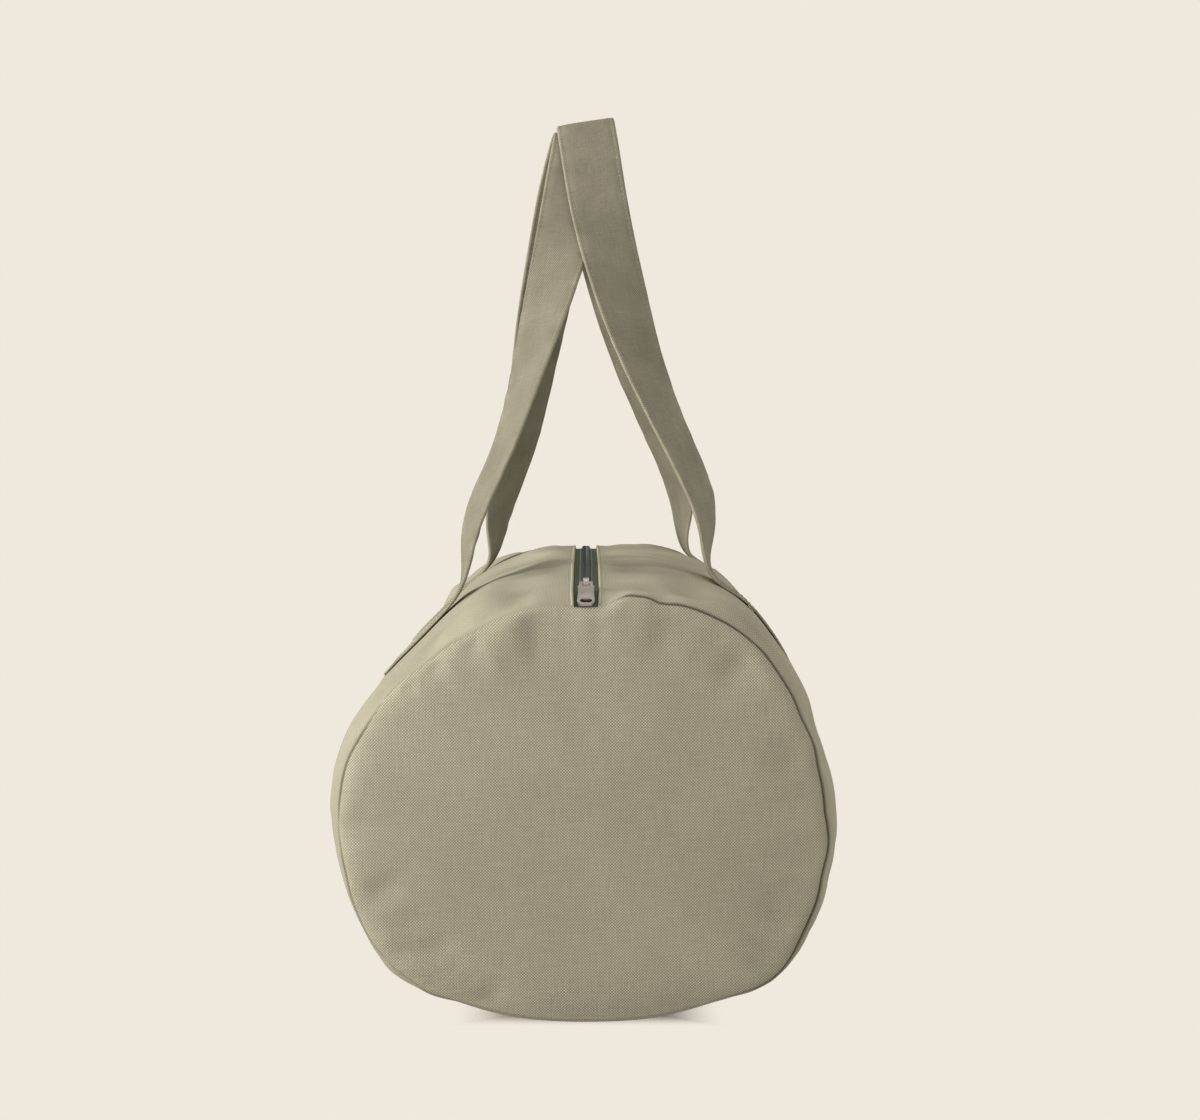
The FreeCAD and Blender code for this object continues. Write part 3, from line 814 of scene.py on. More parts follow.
wall_canvas = canvas("wall_canvas", (143, 137, 116), (173, 168, 146), CANVAS_PITCH, contrast=0.85)
body_canvas = canvas("body_canvas", (132, 126, 104), (197, 192, 169), CANVAS_PITCH, contrast=0.85)
strap_canvas = canvas(
    "strap_canvas", (112, 107, 90), (164, 159, 138), STRAP_PITCH,
    contrast=0.72, slub=0.9, patch=STRAP_PATCH, fading=0.1,
)
canvas_thread = fibre_material("canvas_thread", (140, 135, 114), (176, 171, 148), THREAD_RIB, roughness=0.7)
zip_tape_weave = fibre_material("zip_tape_weave", (52, 62, 50), (84, 96, 78), TAPE_RIB, roughness=0.85)
zip_cord = fibre_material("zip_cord", (96, 112, 92), (128, 142, 120), CORD_RIB, roughness=0.7)
zip_coil_nylon = fibre_material("zip_coil_nylon", (36, 44, 46), (58, 68, 68), COIL_RIB, roughness=0.4)
binding_weave = fibre_material("binding_weave", (118, 113, 94), (156, 150, 128), BINDING_RIB, roughness=0.9)
nickel = metal("nickel", NICKEL_DARK, NICKEL_LIGHT)


# Canvas wall, cut into the pieces that move on their own

GRID = 3 * MM


def stops(*marks):
    """Even steps of about one grid cell between the marks, with every mark kept."""
    runs = []
    for low, high in zip(marks[:-1], marks[1:]):
        count = max(2, round((high - low) / GRID))
        runs.append(np.linspace(low, high, count, endpoint=False))
    return np.concatenate(runs + [[marks[-1]]])


FOLD_LOW_X = 63 * MM
FOLD_HIGH_X = 49 * MM
FOLD_OUTER = reach_at(FOLD_LOW_X)
FOLD_INNER = reach_at(FOLD_HIGH_X)
SEAM_ROWS = np.array([2, 1.4, 1, 0.7, 0.4, 0.2, 0]) * MM
half_around = stops(0, ZIP_REACH, FOLD_INNER, MOUTH_REACH, FOLD_OUTER, HALF_GIRTH)
around_stops = np.concatenate([-half_around[:0:-1], half_around])
half_along = np.concatenate([stops(0, MOUTH_END, ZIP_END, HALF_LENGTH - GRID), HALF_LENGTH - SEAM_ROWS])
along_stops = np.concatenate([-half_along[:0:-1], half_along])
along_grid, around_grid = np.meshgrid(along_stops, around_stops, indexing="ij")
wall_points, wall_painted_shade = wall_surface(around_grid, along_grid)
wall_normals = surface_normals(wall_points)
wall_flat = np.stack([around_grid, along_grid], axis=-1)
cell_around = (around_grid[:-1, :-1] + around_grid[1:, 1:]) / 2
cell_along = (along_grid[:-1, :-1] + along_grid[1:, 1:]) / 2


def wall_piece(kept):
    """A piece of the wall from the cells it keeps, with its parts open for stitches."""
    parts = Parts()
    add_shell(parts, wall_points, wall_normals, wall_flat, kept, wall_painted_shade)
    return parts


def open_with(piece):
    """A piece beside the zip's end, its place baked into its points."""
    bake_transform(piece)


SEAM_MARGIN = 1.5 * MM
TOPSTITCH_INSET = 3.2 * MM
ROLLED_EDGE = 0.85 * MM
ROLLED_EDGE_SINK = 0.35 * MM
ROLLED_EDGE_SIDES = 8
ROLLED_EDGE_LIGHT = 6


def add_zip_stitches(parts, side, low, high):
    """The cloth's rolled edge beside the zip, and the stitches that hold it to the tape."""
    along = np.arange(low, high, GRID / 2)
    around = np.full_like(along, side * (ZIP_REACH + TOPSTITCH_INSET))
    line, ignored = wall_surface(around, along)
    up = np.zeros_like(line)
    up[:, 2] = 1
    add_stitches(parts, line, up)
    edge, ignored = wall_surface(np.full_like(along, side * (ZIP_REACH + ROLLED_EDGE)), along)
    edge[:, 2] -= ROLLED_EDGE_SINK
    # The rolled edge is painted lighter, as a highlight along the fold
    add_round(parts, edge, ROLLED_EDGE, ROLLED_EDGE_SIDES, light=ROLLED_EDGE_LIGHT)


in_slot = np.abs(cell_around) < ZIP_REACH
in_mouth = (np.abs(cell_around) < FOLD_OUTER) & (np.abs(cell_along) < MOUTH_END)
past_mouth = (np.abs(cell_along) > MOUTH_END) & (np.abs(cell_along) < ZIP_END)
in_corner = (np.abs(cell_around) < MOUTH_REACH) & past_mouth
cloth_materials = [wall_canvas, canvas_thread]

parts = wall_piece(~in_slot & ~in_mouth & ~in_corner)
for side in (LEFT, RIGHT):
    add_zip_stitches(parts, side, -HALF_LENGTH + SEAM_MARGIN, -ZIP_END)
    add_zip_stitches(parts, side, ZIP_END, HALF_LENGTH - SEAM_MARGIN)
wall = parts.make("wall_cloth", cloth_materials)
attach(wall, "bag")
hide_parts("barrel_wall")

for side, side_name in SIDES:
    on_side = np.sign(cell_around) == side
    body = f"{side_name}_mouth"
    flap_cells = in_mouth & ~in_slot & on_side & (np.abs(cell_around) < FOLD_INNER)
    parts = wall_piece(flap_cells)
    add_zip_stitches(parts, side, -MOUTH_END, MOUTH_END)
    flap = parts.make(f"{side_name}_mouth_cloth", cloth_materials)
    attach(flap, body)
    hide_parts(f"{side_name}_mouth_flap")

    fold_cells = in_mouth & on_side & (np.abs(cell_around) > FOLD_INNER)
    fold = wall_piece(fold_cells).make(f"{side_name}_mouth_fold", cloth_materials)
    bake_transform(fold)
    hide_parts(f"{side_name}_mouth_flap")

    for end, end_name in ENDS:
        parts = wall_piece(in_corner & ~in_slot & on_side & (np.sign(cell_along) == end))
        add_zip_stitches(parts, side, *sorted((end * MOUTH_END, end * ZIP_END)))
        corner = parts.make(f"{side_name}_{end_name}_mouth_cloth", cloth_materials)
        open_with(corner)
        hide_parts("barrel_wall")


# End panels: a soft crown inside the wall's last ring, gathered at the seam

PANEL_STEPS = 91
PANEL_CENTRE = CENTRE + (RISE - DROP) / 2
PANEL_CROWN = 9.6 * MM
PANEL_DOME_SHARE = 0.6
PANEL_CROWN_REACH = 13 * MM
PANEL_PUCKER_HEIGHT = 1.7 * MM
PANEL_PUCKER_DEPTH = 9 * MM
PANEL_UNEVENNESS = 1.6 * MM
PANEL_UNEVENNESS_CELL = 75 * MM
SEAM_BLEND = 6 * MM

# Soft folds on the end panels: where each starts and ends (x, z), its width and its height, which also paints
# a ridge lighter and a hollow darker
PANEL_FOLDS = {
    FRONT: metres((
        ((-30, 238), (-27, 205), 7, -1.6),
        ((-42, 232), (-52, 196), 9, 1.1),
        ((-58, 228), (-63, 212), 5, -1.4),
        ((-80, 214), (-84, 200), 6, -1.6),
        ((-97, 205), (-94, 188), 5, -1.2),
        ((-118, 82), (-98, 92), 6, -1.6),
        ((-108, 60), (-84, 72), 7, -1.3),
        ((-92, 46), (-72, 60), 6, -1.4),
        ((-60, 18), (-46, 34), 6, -1.2),
        ((118, 160), (98, 148), 7, -1.1),
        ((112, 62), (92, 78), 7, -1.2),
        ((84, 214), (72, 196), 7, -1.1),
        ((44, 232), (38, 210), 7, -1),
    )),
    REAR: metres((
        ((30, 236), (27, 204), 7, -1.6),
        ((64, 224), (58, 200), 7, -1.5),
        ((-62, 226), (-52, 198), 8, -1.5),
        ((-100, 196), (-84, 180), 7, -1.3),
        ((112, 92), (92, 96), 7, -1.5),
        ((-112, 70), (-90, 84), 7, -1.5),
        ((-40, 16), (-32, 36), 6, -1.3),
    )),
}
PANEL_PUCKER_SEEDS = {FRONT: 51, REAR: 61}
PANEL_UNEVENNESS_SEEDS = {FRONT: 56, REAR: 66}


def panel_disc():
    """An even square grid, finer at its edge, drawn into a disc of radius 1."""
    edge_steps = 1 - np.concatenate([[GRID], SEAM_ROWS]) / HALF_WIDTH
    middle_steps = np.linspace(-edge_steps[0], edge_steps[0], PANEL_STEPS)
    side_steps = np.concatenate([-edge_steps[:0:-1], middle_steps, edge_steps[1:]])
    first, second = np.meshgrid(side_steps, side_steps, indexing="ij")
    return first * np.sqrt(1 - second ** 2 / 2), second * np.sqrt(1 - first ** 2 / 2)


def panel_relief(end, x, z, around, inward):
    """Gathers at the seam and soft folds of an end panel, out from its smooth crown."""
    gathers = PANEL_PUCKER_HEIGHT * seam_noise(around, end, PUCKER_CELLS, PANEL_PUCKER_SEEDS[end])
    relief_and_shade = gathers * seam_swell(inward, PANEL_PUCKER_DEPTH) + ROLL_HEIGHT * seam_swell(inward, ROLL_DEPTH)
    relief_and_shade = relief_and_shade * (1 - low_share(around))
    edge = smooth(inward, 0, SEAM_BLEND)
    for start, finish, width, height in PANEL_FOLDS[end]:
        relief_and_shade = relief_and_shade + height * crease(x, z, start, finish, width) * edge
    return relief_and_shade


def end_panel(end, name):
    """One end panel, on an even grid drawn out from its centre to the wall's seam."""
    ring = wall_points[0 if end == FRONT else -1]
    ring_angles = np.arctan2(ring[:, 2] - PANEL_CENTRE, ring[:, 0])
    order = np.argsort(ring_angles)

    def round_ring(angles, values):
        return np.interp(angles, ring_angles[order], values[order], period=math.tau)

    disc_x, disc_z = panel_disc()
    share = np.hypot(disc_x, disc_z)
    angles = np.arctan2(disc_z, disc_x)
    ring_x = round_ring(angles, ring[:, 0])
    ring_z = round_ring(angles, ring[:, 2]) - PANEL_CENTRE
    x = share * ring_x
    z = PANEL_CENTRE + share * ring_z
    inward = (1 - share) * np.hypot(ring_x, ring_z)
    around = np.where(disc_x < 0, LEFT, RIGHT) * round_ring(angles, np.abs(around_stops))

    seam_height = round_ring(angles, np.abs(ring[:, 1])) - HALF_LENGTH
    gape = seam_opening(around, end)
    groove = gape * bump(inward, 0, GROOVE_WIDTH)
    sunk = GROOVE_DEPTH * SEAM_TILT
    height = (seam_height + sunk * gape) * smooth(inward, SEAM_BLEND, 0) - sunk * groove
    rim_crown = 1 - np.exp(-inward / PANEL_CROWN_REACH)
    height = height + PANEL_CROWN * (PANEL_DOME_SHARE * (1 - share ** 2) + (1 - PANEL_DOME_SHARE) * rim_crown)
    relief_and_shade = panel_relief(end, x, z, around, inward)
    flat_points = np.stack([x, np.full_like(x, end * HALF_LENGTH), z], axis=-1)
    uneven = PANEL_UNEVENNESS * noise(flat_points, PANEL_UNEVENNESS_CELL, PANEL_UNEVENNESS_SEEDS[end])
    height = height + relief_and_shade + uneven * smooth(inward, 0, PANEL_CROWN_REACH)
    points = np.stack([x, end * (HALF_LENGTH + height), z], axis=-1)
    # Painted shade: the folds' relief lighter and darker, and a dark line painted along the seam's groove
    shade = relief_and_shade - GROOVE_SHADE * groove
    if end == FRONT:
        points = points[::-1]
        shade = shade[::-1]
    normals = np.zeros_like(points)
    normals[..., 1] = end
    kept = np.ones(np.subtract(share.shape, 1), bool)
    parts = Parts()
    add_shell(parts, points, normals, points[..., [0, 2]], kept, shade, own_normals=False)
    return parts.make(name, [body_canvas])


for end, end_name in ENDS:
    panel = end_panel(end, f"{end_name}_panel_cloth")
    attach(panel, "bag")
    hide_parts(f"{end_name}_end_panel")


# Bound seam allowances inside the two ends

BINDING_WIDTH = 10 * MM
BINDING_THICKNESS = 1.2 * MM
BINDING_INSET = 3.5 * MM
BINDING_SETBACK = 3 * BINDING_THICKNESS
BINDING_ROUNDING = 0.5
BINDING_STEPS = 260
BINDING_SIDES = 10


def seam_binding(end, name):
    """A ring of folded tape that lies inside the seam."""
    around = np.linspace(-HALF_GIRTH, HALF_GIRTH, BINDING_STEPS)
    ring, ignored = wall_surface(around, np.full_like(around, end * HALF_LENGTH))
    middle = np.array([0, end * HALF_LENGTH, PANEL_CENTRE])
    to_middle = unit((middle - ring) * np.array([1, 0, 1]))
    turn = np.linspace(0, math.tau, BINDING_SIDES, endpoint=False)
    in_share = (1 - np.sign(np.cos(turn)) * np.abs(np.cos(turn)) ** BINDING_ROUNDING) / 2
    inward = BINDING_INSET + BINDING_WIDTH * in_share
    y = end * (HALF_LENGTH - BINDING_SETBACK) + np.sin(turn) * BINDING_THICKNESS / 2
    points = ring[:, None, :] + to_middle[:, None, :] * inward[None, :, None]
    points[..., 1] = y[None, :]
    parts = Parts()
    add_tube(parts, points, strip_places(inward, around))
    return parts.make(name, [binding_weave])


for end, end_name in ENDS:
    ring = seam_binding(end, f"{end_name}_binding_tape")
    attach(ring, "bag")
    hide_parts(f"{end_name}_seam_binding")


# Straps: each one piece from its sewn front end, up round the loop and down to its sewn rear end

def spline(knots, values, wanted):
    """A natural cubic curve through values at knots."""
    gaps = np.diff(knots)
    slopes = np.diff(values, axis=0) / gaps[:, None]
    size = len(knots)
    matrix = np.eye(size)
    target = np.zeros_like(values)
    for row in range(1, size - 1):
        matrix[row, row - 1:row + 2] = gaps[row - 1], 2 * (gaps[row - 1] + gaps[row]), gaps[row]
        target[row] = 6 * (slopes[row] - slopes[row - 1])
    curls = np.linalg.solve(matrix, target)
    cell = np.clip(np.searchsorted(knots, wanted) - 1, 0, size - 2)
    before = (knots[cell + 1] - wanted) / gaps[cell]
    after = 1 - before
    bend = (before ** 3 - before)[:, None] * curls[cell] + (after ** 3 - after)[:, None] * curls[cell + 1]
    straight = before[:, None] * values[cell] + after[:, None] * values[cell + 1]
    return straight + bend * (gaps[cell] ** 2 / 6)[:, None]


# Where the straps run: sewn down, lifted off at the foot, and straying from the part's own handles
STRAP_GAP = 0.15 * MM
STRAP_BED = STRAP_GAP + STRAP_THICKNESS / 2
NESTS = {LEFT: 0, RIGHT: NEST}
SEWN_X = metres((119.5, 112, 104, 96, 89))
LIFT_OFF_X = 74.2 * MM
LIFT_OFF_GAP = 4.8 * MM
FOOT_FADE_SHARE = 0.35
SWAYS = {LEFT: 3 * MM, RIGHT: -3.5 * MM}
SWAY_SHARE = 0.27
SWAY_WIDTH_SHARE = 0.16
REAR_SHIFTS = {LEFT: 9 * MM, RIGHT: 5 * MM}
REAR_FADE_SHARE = 0.55
REAR_HIGH_SHIFTS = {LEFT: -6.5 * MM, RIGHT: 0}
REAR_HIGH_SHARE = 0.74
REAR_HIGH_WIDTH_SHARE = 0.26
TURN_POWERS = {FRONT: {LEFT: 1.3, RIGHT: 0.88}, REAR: {LEFT: 0.75, RIGHT: 0.88}}
FOOT_TURN_SHARES = {FRONT: {LEFT: 0.09, RIGHT: 0}, REAR: {LEFT: 0, RIGHT: 0}}
FOOT_TURN_WIDTH_SHARE = 0.13

# How a strap is made: its steps, its pressed ends, its section and its edges
STRAP_STEP = 2.2 * MM
TURN_SMOOTHING = 8
FREE_RISE = 40 * MM
SEWN_PRESS_SHARE = 0.45
SEWN_PRESS_REACH = (75 * MM, 45 * MM)
EDGE_INSET = 2.6 * MM
STITCH_DENT_SHARE = 0.04
RIM_ACROSS_SHARES = (0.985, 0.95)
FACE_ACROSS_SHARES = (0.6, 0.3)
THICKNESS_SHARES = (0.4, 0.8, 0.9, 0.7, 0.88, 0.86, 0.84)
STRAP_CUP = 1.1 * MM
STRAP_CUP_CELL = 70 * MM
STRAP_CUP_SEEDS = {LEFT: 71, RIGHT: 81}
EDGE_REACH = 10 * MM
EDGE_PUCKER = 0.45 * MM
EDGE_PUCKER_CELL = 6 * MM
EDGE_PUCKER_SEEDS = {LEFT: 74, RIGHT: 84}
SEWN_PUCKER_SHARE = 0.25
EDGE_PUCKER_SHADE = 5
EDGE_LIGHT = 0.7
RIM_SHARE = 0.98
RIM_LIGHT = 6

# The slant of the loop's top
TOP_SLANT_SHARE = 0.145
TOP_SLANT_X = 14 * MM
TOP_SLANT_REACH = 70 * MM

SURFACE_PROBE = 1 * MM


def points_on_wall(side, x, y):
    """Places on the wall's outside a given way out, with their normals."""
    around = side * reach_at(x)
    here = wall_surface(around, y)[0]
    further = wall_surface(around + SURFACE_PROBE, y)[0]
    beside = wall_surface(around, y + SURFACE_PROBE)[0]
    return here, unit(np.cross(further - here, beside - here))


def leg_knots(side, end):
    """Points of one strap leg from its sewn end up to the top of the loop, each with its quarter turn."""
    nest = NESTS[side]
    sewn_x = np.array([*SEWN_X, HINGE_X])
    sewn, out = points_on_wall(side, sewn_x, np.full_like(sewn_x, end * HANDLE_Y))
    knots = [(point, 0) for point in (sewn + out * STRAP_BED)[:-1]]
    foot_rise = sewn[-1, 2] - CENTRE - section_at(reach_at(HINGE_X))[1]
    lift_off_x = LIFT_OFF_X - (end == REAR) * REAR_SHIFTS[side]
    lift_off_z = CENTRE + section_at(reach_at(lift_off_x))[1] + LIFT_OFF_GAP + foot_rise
    knots.append((np.array([side * lift_off_x, end * HANDLE_Y, lift_off_z]), 0))
    shares = zip(LEG_RISE_SHARES, LEG_LEAN_SHARES, LEG_SPREAD_SHARES, LEG_TURN_SHARES, LEG_NEST_SHARES)
    for climbed, lean, spread, turn, nested in shares:
        inner = SWAYS[side] * bump(climbed, SWAY_SHARE, SWAY_WIDTH_SHARE)
        if end == REAR:
            inner = inner + REAR_SHIFTS[side] * smooth(climbed, REAR_FADE_SHARE, 0)
            inner = inner + REAR_HIGH_SHIFTS[side] * bump(climbed, REAR_HIGH_SHARE, REAR_HIGH_WIDTH_SHARE)
        x = side * (HINGE_X - inner) + (HANDLE_TOP_X[side] - side * HINGE_X) * lean
        y = end * (HANDLE_Y * spread + nest * nested)
        lifted = foot_rise * smooth(climbed, FOOT_FADE_SHARE, 0)
        z = HINGE_Z + (HANDLE_TOP + nest - HINGE_Z) * climbed + lifted
        foot_turn = FOOT_TURN_SHARES[end][side] * bump(climbed, LEG_RISE_SHARES[0], FOOT_TURN_WIDTH_SHARE)
        knots.append((np.array([x, y, z]), turn ** TURN_POWERS[end][side] + foot_turn))
    return knots


def strap_run(side):
    """One strap's middle line, its ways across and out, and how far along it each point is."""
    knots = leg_knots(side, FRONT) + leg_knots(side, REAR)[-2::-1]
    places = np.array([point for point, turn in knots])
    turns = np.array([turn for point, turn in knots])
    reach = distances(places)
    run = np.linspace(0, reach[-1], round(reach[-1] / STRAP_STEP))
    centre = spline(reach, places, run)
    turn = math.pi / 2 * np.clip(np.interp(run, reach, turns), 0, 1)
    kernel = np.hanning(2 * TURN_SMOOTHING + 1)
    turn = np.convolve(np.pad(turn, TURN_SMOOTHING, mode="edge"), kernel / kernel.sum(), mode="valid")
    end = np.where(run < run[-1] / 2, FRONT, REAR)
    forward = unit(np.gradient(centre, axis=0))
    across = np.stack([-side * np.sin(turn), end * np.cos(turn), np.zeros_like(turn)], axis=-1)
    across = unit(across - forward * np.sum(across * forward, axis=1, keepdims=True))
    return centre, across, np.cross(across, forward), run


def strap_section():
    """Places round the strap's folded cross-section, across it and out from its middle."""
    half = STRAP_WIDTH / 2
    line = 1 - EDGE_INSET / half
    dent = [line + STITCH_DENT_SHARE, line, line - STITCH_DENT_SHARE]
    half_face = [*RIM_ACROSS_SHARES, *dent, *FACE_ACROSS_SHARES]
    face = np.array(half_face + [0] + [-place for place in half_face[::-1]])
    thick = np.array(THICKNESS_SHARES + THICKNESS_SHARES[-1:] + THICKNESS_SHARES[::-1])
    across = np.concatenate([[1], face, [-1], face[::-1]])
    out = np.concatenate([[0], thick, [0], -thick[::-1]])
    return across * half, out * STRAP_THICKNESS / 2


def make_strap(side, name):
    """One strap with its edge stitching and the thread boxes of its sewn ends, and its length."""
    centre, across, outward, run = strap_run(side)
    length = run[-1]
    section_across, section_out = strap_section()
    half = STRAP_WIDTH / 2
    free = smooth(centre[:, 2], HINGE_Z, HINGE_Z + FREE_RISE)
    cup = STRAP_CUP * line_noise(run, STRAP_CUP_CELL, STRAP_CUP_SEEDS[side]) * free
    bowed = cup[:, None] * (section_across[None, :] / half) ** 2
    edges = smooth(np.abs(section_across), half - EDGE_REACH, half)
    edge_run = run[:, None] + np.where(section_across > 0, 0, length)[None, :]
    ripple = line_noise(edge_run, EDGE_PUCKER_CELL, EDGE_PUCKER_SEEDS[side]) * edges[None, :]
    pressed = 1 - SEWN_PRESS_SHARE * smooth(np.minimum(run, length - run), *SEWN_PRESS_REACH)
    sunk = side * (1 - pressed) * STRAP_THICKNESS / 2
    out = section_out[None, :] * pressed[:, None] + sunk[:, None] + bowed
    out = out + EDGE_PUCKER * ripple * (SEWN_PUCKER_SHARE + (1 - SEWN_PUCKER_SHARE) * free[:, None])
    points = centre[:, None, :] + across[:, None, :] * section_across[None, :, None]
    points = points + outward[:, None, :] * out[..., None]
    slant = TOP_SLANT_SHARE * (points[..., 0] - TOP_SLANT_X)
    points[..., 2] += slant * smooth(points[..., 2], HANDLE_TOP - TOP_SLANT_REACH, HANDLE_TOP)
    rim = np.abs(section_across) > half * RIM_SHARE
    # Painted shade and highlight on the edge puckers, and the edges and rim made lighter in colour
    relief_and_shade = EDGE_PUCKER_SHADE * ripple + EDGE_LIGHT * edges[None, :] + RIM_LIGHT * rim[None, :]
    parts = Parts()
    add_tube(parts, points, strip_places(section_across, run), relief_and_shade=relief_and_shade, capped=True)

    stitched = half - EDGE_INSET
    for lane in (-stitched, stitched):
        column = np.argmin(np.abs(section_across - lane) + (section_out < 0))
        under = np.argmin(np.abs(section_across - lane) + (section_out > 0))
        add_stitches(parts, points[:, column], outward)
        add_stitches(parts, points[:, under], -outward)
    add_thread_boxes(parts, side)
    return parts.make(name, [strap_canvas, canvas_thread], STRAP_SHARP_ANGLE), length


BOX_INSET = 6 * MM
BOX_HALF = STRAP_WIDTH / 2 - BOX_INSET
BOX_LOW_X = 115 * MM
BOX_HIGH_X = 84 * MM
BOX_STEPS = 14
THREAD_BED = STRAP_GAP + STRAP_THICKNESS * (1 - SEWN_PRESS_SHARE)


def add_thread_boxes(parts, side):
    """A sewn box with a cross on each of a strap's two ends."""
    for end in (FRONT, REAR):
        low = end * HANDLE_Y - BOX_HALF
        high = end * HANDLE_Y + BOX_HALF
        corners = [(BOX_LOW_X, low), (BOX_HIGH_X, low), (BOX_HIGH_X, high), (BOX_LOW_X, high)]
        box = list(zip(corners, corners[1:] + corners[:1]))
        cross = list(zip(corners[:2], corners[2:]))
        for start, finish in box + cross:
            here, out = points_on_wall(side, *np.linspace(start, finish, BOX_STEPS).T)
            add_stitches(parts, here + out * THREAD_BED, out)


for side, side_name in SIDES:
    strap, strap_length = make_strap(side, f"{side_name}_strap")
    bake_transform(strap)
    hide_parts(f"{side_name}_handle", f"{side_name}_front_strap_end", f"{side_name}_rear_strap_end")
    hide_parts("strap_end_stitching")


# Zip: tape with its thread cords, and a coil of nylon loops, in the lengths that move apart

TAPE_STEP = 2 * MM
CORD_X = 3.3 * MM
CORD_RADIUS = 0.4 * MM
CORD_SIDES = 6
COIL_PITCH = 1.35 * MM
COIL_MIDDLE = 1.1 * MM
COIL_HALF_WIDTH = 1.3 * MM
COIL_HALF_HEIGHT = 0.75 * MM
COIL_WIRE = 0.36 * MM
COIL_STEPS = 12
COIL_SIDES = 5


def tape_level(along):
    """Height of the tape's upper face: level but for the top's lift, and down the rounded ends."""
    past = np.clip(1 - (HALF_LENGTH - np.abs(along)) / ROUND_OVER, 0, 1)
    crest = CENTRE + RISE * (1 - (1 - END_SIDE_SHARE + CREST_DIP_SHARE) * past ** 2)
    return np.minimum(crest - CLOTH - TAPE_SINK, TAPE_TOP) + zip_rise(along)


def tape_strip(side, low, high, name):
    """A flat woven tape with the stitched cord that holds the coil."""
    along = np.linspace(low, high, round((high - low) / TAPE_STEP))
    x_places = np.array([TAPE_INNER, TAPE_INNER + TAPE_THICKNESS, CORD_X, ZIP_EDGE, TAPE_OUTER])
    x_ring = np.concatenate([x_places, x_places[::-1]])
    z_ring = np.repeat([0, -TAPE_THICKNESS], len(x_places))
    level = tape_level(along)
    points = np.empty((len(along), len(x_ring), 3))
    points[..., 0] = side * x_ring[None, :]
    points[..., 1] = along[:, None]
    points[..., 2] = level[:, None] + z_ring[None, :]
    if side == RIGHT:
        points = points[:, ::-1]
    parts = Parts()
    add_tube(parts, points, points[..., :2], capped=True)
    cord = np.stack([np.full_like(along, side * CORD_X), along, level], axis=-1)
    add_round(parts, cord, CORD_RADIUS, CORD_SIDES, THREAD_SLOT)
    return parts.make(name, [zip_tape_weave, zip_cord])


def coil_row(side, low, high, name):
    """One row of zip teeth: a nylon wire wound in flat loops that reach past the middle."""
    turns = (high - low) / COIL_PITCH
    share = np.linspace(0, 1, round(turns * COIL_STEPS))
    angle = math.tau * turns * share
    along = low + (high - low) * share + (side > 0) * COIL_PITCH / 2
    along = np.clip(along, low, high)
    x = side * (COIL_MIDDLE + COIL_HALF_WIDTH * np.cos(angle))
    z = tape_level(along) + COIL_HALF_HEIGHT + COIL_WIRE / 2 + COIL_HALF_HEIGHT * np.sin(angle)
    parts = Parts()
    add_round(parts, np.stack([x, along, z], axis=-1), COIL_WIRE, COIL_SIDES)
    return parts.make(name, [zip_coil_nylon])


ZIP_KINDS = ((tape_strip, "tape", "zip_tape"), (coil_row, "coil", "zip_coil"))
for make, kind, slot_name in ZIP_KINDS:
    for side, side_name in SIDES:
        body = f"{side_name}_mouth"
        middle = make(side, -MOUTH_END, MOUTH_END, f"{side_name}_{kind}")
        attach(middle, body)
        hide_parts(f"{side_name}_zip_{kind}")
        for end, end_name in ENDS:
            low, high = sorted((end * MOUTH_END, end * (HALF_LENGTH - SEAM_MARGIN)))
            piece = make(side, low, high, f"{side_name}_{end_name}_{kind}")
            open_with(piece)
            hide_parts(f"{end_name}_zip_{kind}_ends")


# Nickel on the slider and its pull tab

EDGE_ROUNDING = 0.25 * MM
EDGE_ROUNDING_SEGMENTS = 2
for name in ("slider_body", "pull_tab"):
    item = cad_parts[name]
    item.data.materials.clear()
    item.data.materials.append(nickel)
    rounding = item.modifiers.new("rounding", "BEVEL")
    rounding.width = EDGE_ROUNDING
    rounding.segments = EDGE_ROUNDING_SEGMENTS
    rounding.limit_method = "ANGLE"


# Studio

BACKGROUND = linear(239, 233, 221)
FLOOR_RADIUS = 4
FLOOR_SIDES = 64
SHADOW_FADE_X = (0.035, 0.08)
SHADOW_FADE_Y = (0.166, 0.196)
AMBIENT_COLOUR = (1, 0.99, 0.97, 1)
AMBIENT_STRENGTH = 0.51
LAMP_AIM = Vector((0, 0, 0.15))

# Soft lamps: name, place, width and power
LAMPS = (
    ("key", (-1.75, -0.66, 0.66), 1.8, 55),
    ("front", (0.4, -3, 1.5), 2.4, 25),
    ("overhead", (-0.3, 0.4, 2.4), 2.4, 5),
    ("side", (1.7, 0.5, 0.6), 1.8, 10),
)


def floor_material():
    """Pale paper that keeps the shadow under the bag and clears to the backdrop round it."""
    graph = Graph(bpy.data.materials.new("floor_paper"))
    place = graph.node("TexCoord").outputs["Object"]
    split = graph.node("SeparateXYZ", {0: place}).outputs
    far_x = graph.spread(graph.math("ABSOLUTE", split[0]), *SHADOW_FADE_X)
    far_y = graph.spread(graph.math("ABSOLUTE", split[1]), *SHADOW_FADE_Y)
    far = graph.math("MAXIMUM", far_x, far_y)
    graph.dress({"Base Color": BACKGROUND, "Roughness": 1, "Specular IOR Level": 0})
    paper = graph.nodes["Principled BSDF"].outputs[0]
    clear = graph.node("BsdfTransparent").outputs[0]
    blend = graph.node("MixShader", {0: far, 1: paper, 2: clear}).outputs[0]
    graph.fill(graph.nodes["Material Output"], {"Surface": blend})
    return graph.owner


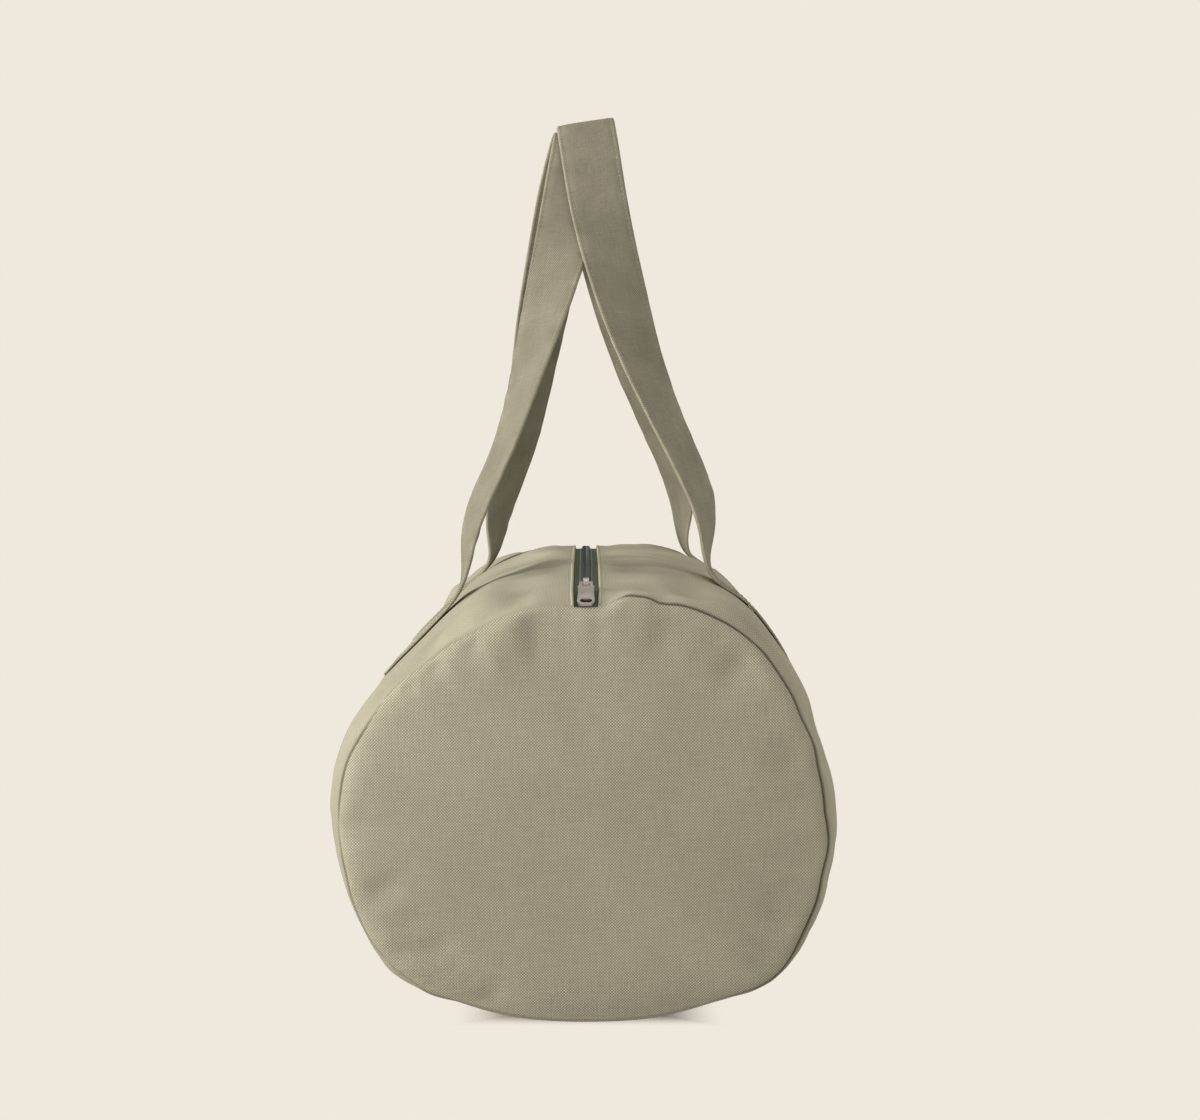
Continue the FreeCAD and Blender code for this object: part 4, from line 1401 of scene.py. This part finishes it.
floor_mesh = bpy.data.meshes.new("floor")
floor_turns = [math.tau * step / FLOOR_SIDES for step in range(FLOOR_SIDES)]
floor_ring = [(FLOOR_RADIUS * math.cos(turn), FLOOR_RADIUS * math.sin(turn), 0) for turn in floor_turns]
floor_mesh.from_pydata(floor_ring, [], [list(range(FLOOR_SIDES))])
floor_mesh.materials.append(floor_material())
add_object("floor", floor_mesh)

# Seen directly, mirrored or through something clear, the world is the backdrop; otherwise it is a soft light
world = Graph(bpy.data.worlds.new("studio"))
bpy.context.scene.world = world.owner
rays = world.node("LightPath").outputs
seen = world.math("MAXIMUM", rays["Is Camera Ray"], rays["Is Glossy Ray"])
seen = world.math("MAXIMUM", seen, rays["Is Transmission Ray"])
ambient = world.nodes["Background"]
world.fill(ambient, {"Color": AMBIENT_COLOUR, "Strength": AMBIENT_STRENGTH})
backdrop = world.node("Background", {"Color": BACKGROUND, "Strength": 1})
chosen = world.node("MixShader", {0: seen, 1: ambient.outputs[0], 2: backdrop.outputs[0]})
world.fill(world.nodes["World Output"], {"Surface": chosen.outputs[0]})

for name, place, width, power in LAMPS:
    lamp = bpy.data.lights.new(name, "AREA")
    lamp.shape = "DISK"
    lamp.size = width
    lamp.energy = power
    lamp_item = add_object(name, lamp)
    lamp_item.location = place
    lamp_item.rotation_euler = (lamp_item.location - LAMP_AIM).to_track_quat("Z", "Y").to_euler()


# Camera

FOCAL_PIXELS = 2285
PHOTO_WIDTH = 1200
SENSOR_WIDTH = 36
AXIS_COLUMN = 586
CAMERA_PLACE = (0, -1.45, 0.33)
CAMERA_PITCH = 3.2
CLIP_START = 10 * MM

camera = bpy.data.cameras.new("camera")
camera.sensor_width = SENSOR_WIDTH
camera.lens = FOCAL_PIXELS * SENSOR_WIDTH / PHOTO_WIDTH
camera.shift_x = (PHOTO_WIDTH / 2 - AXIS_COLUMN) / PHOTO_WIDTH
camera.clip_start = CLIP_START
camera_item = add_object("camera", camera)
camera_item.location = CAMERA_PLACE
camera_item.rotation_euler = (math.radians(90 - CAMERA_PITCH), 0, 0)
bpy.context.scene.camera = camera_item
bpy.context.scene.view_settings.view_transform = "Standard"
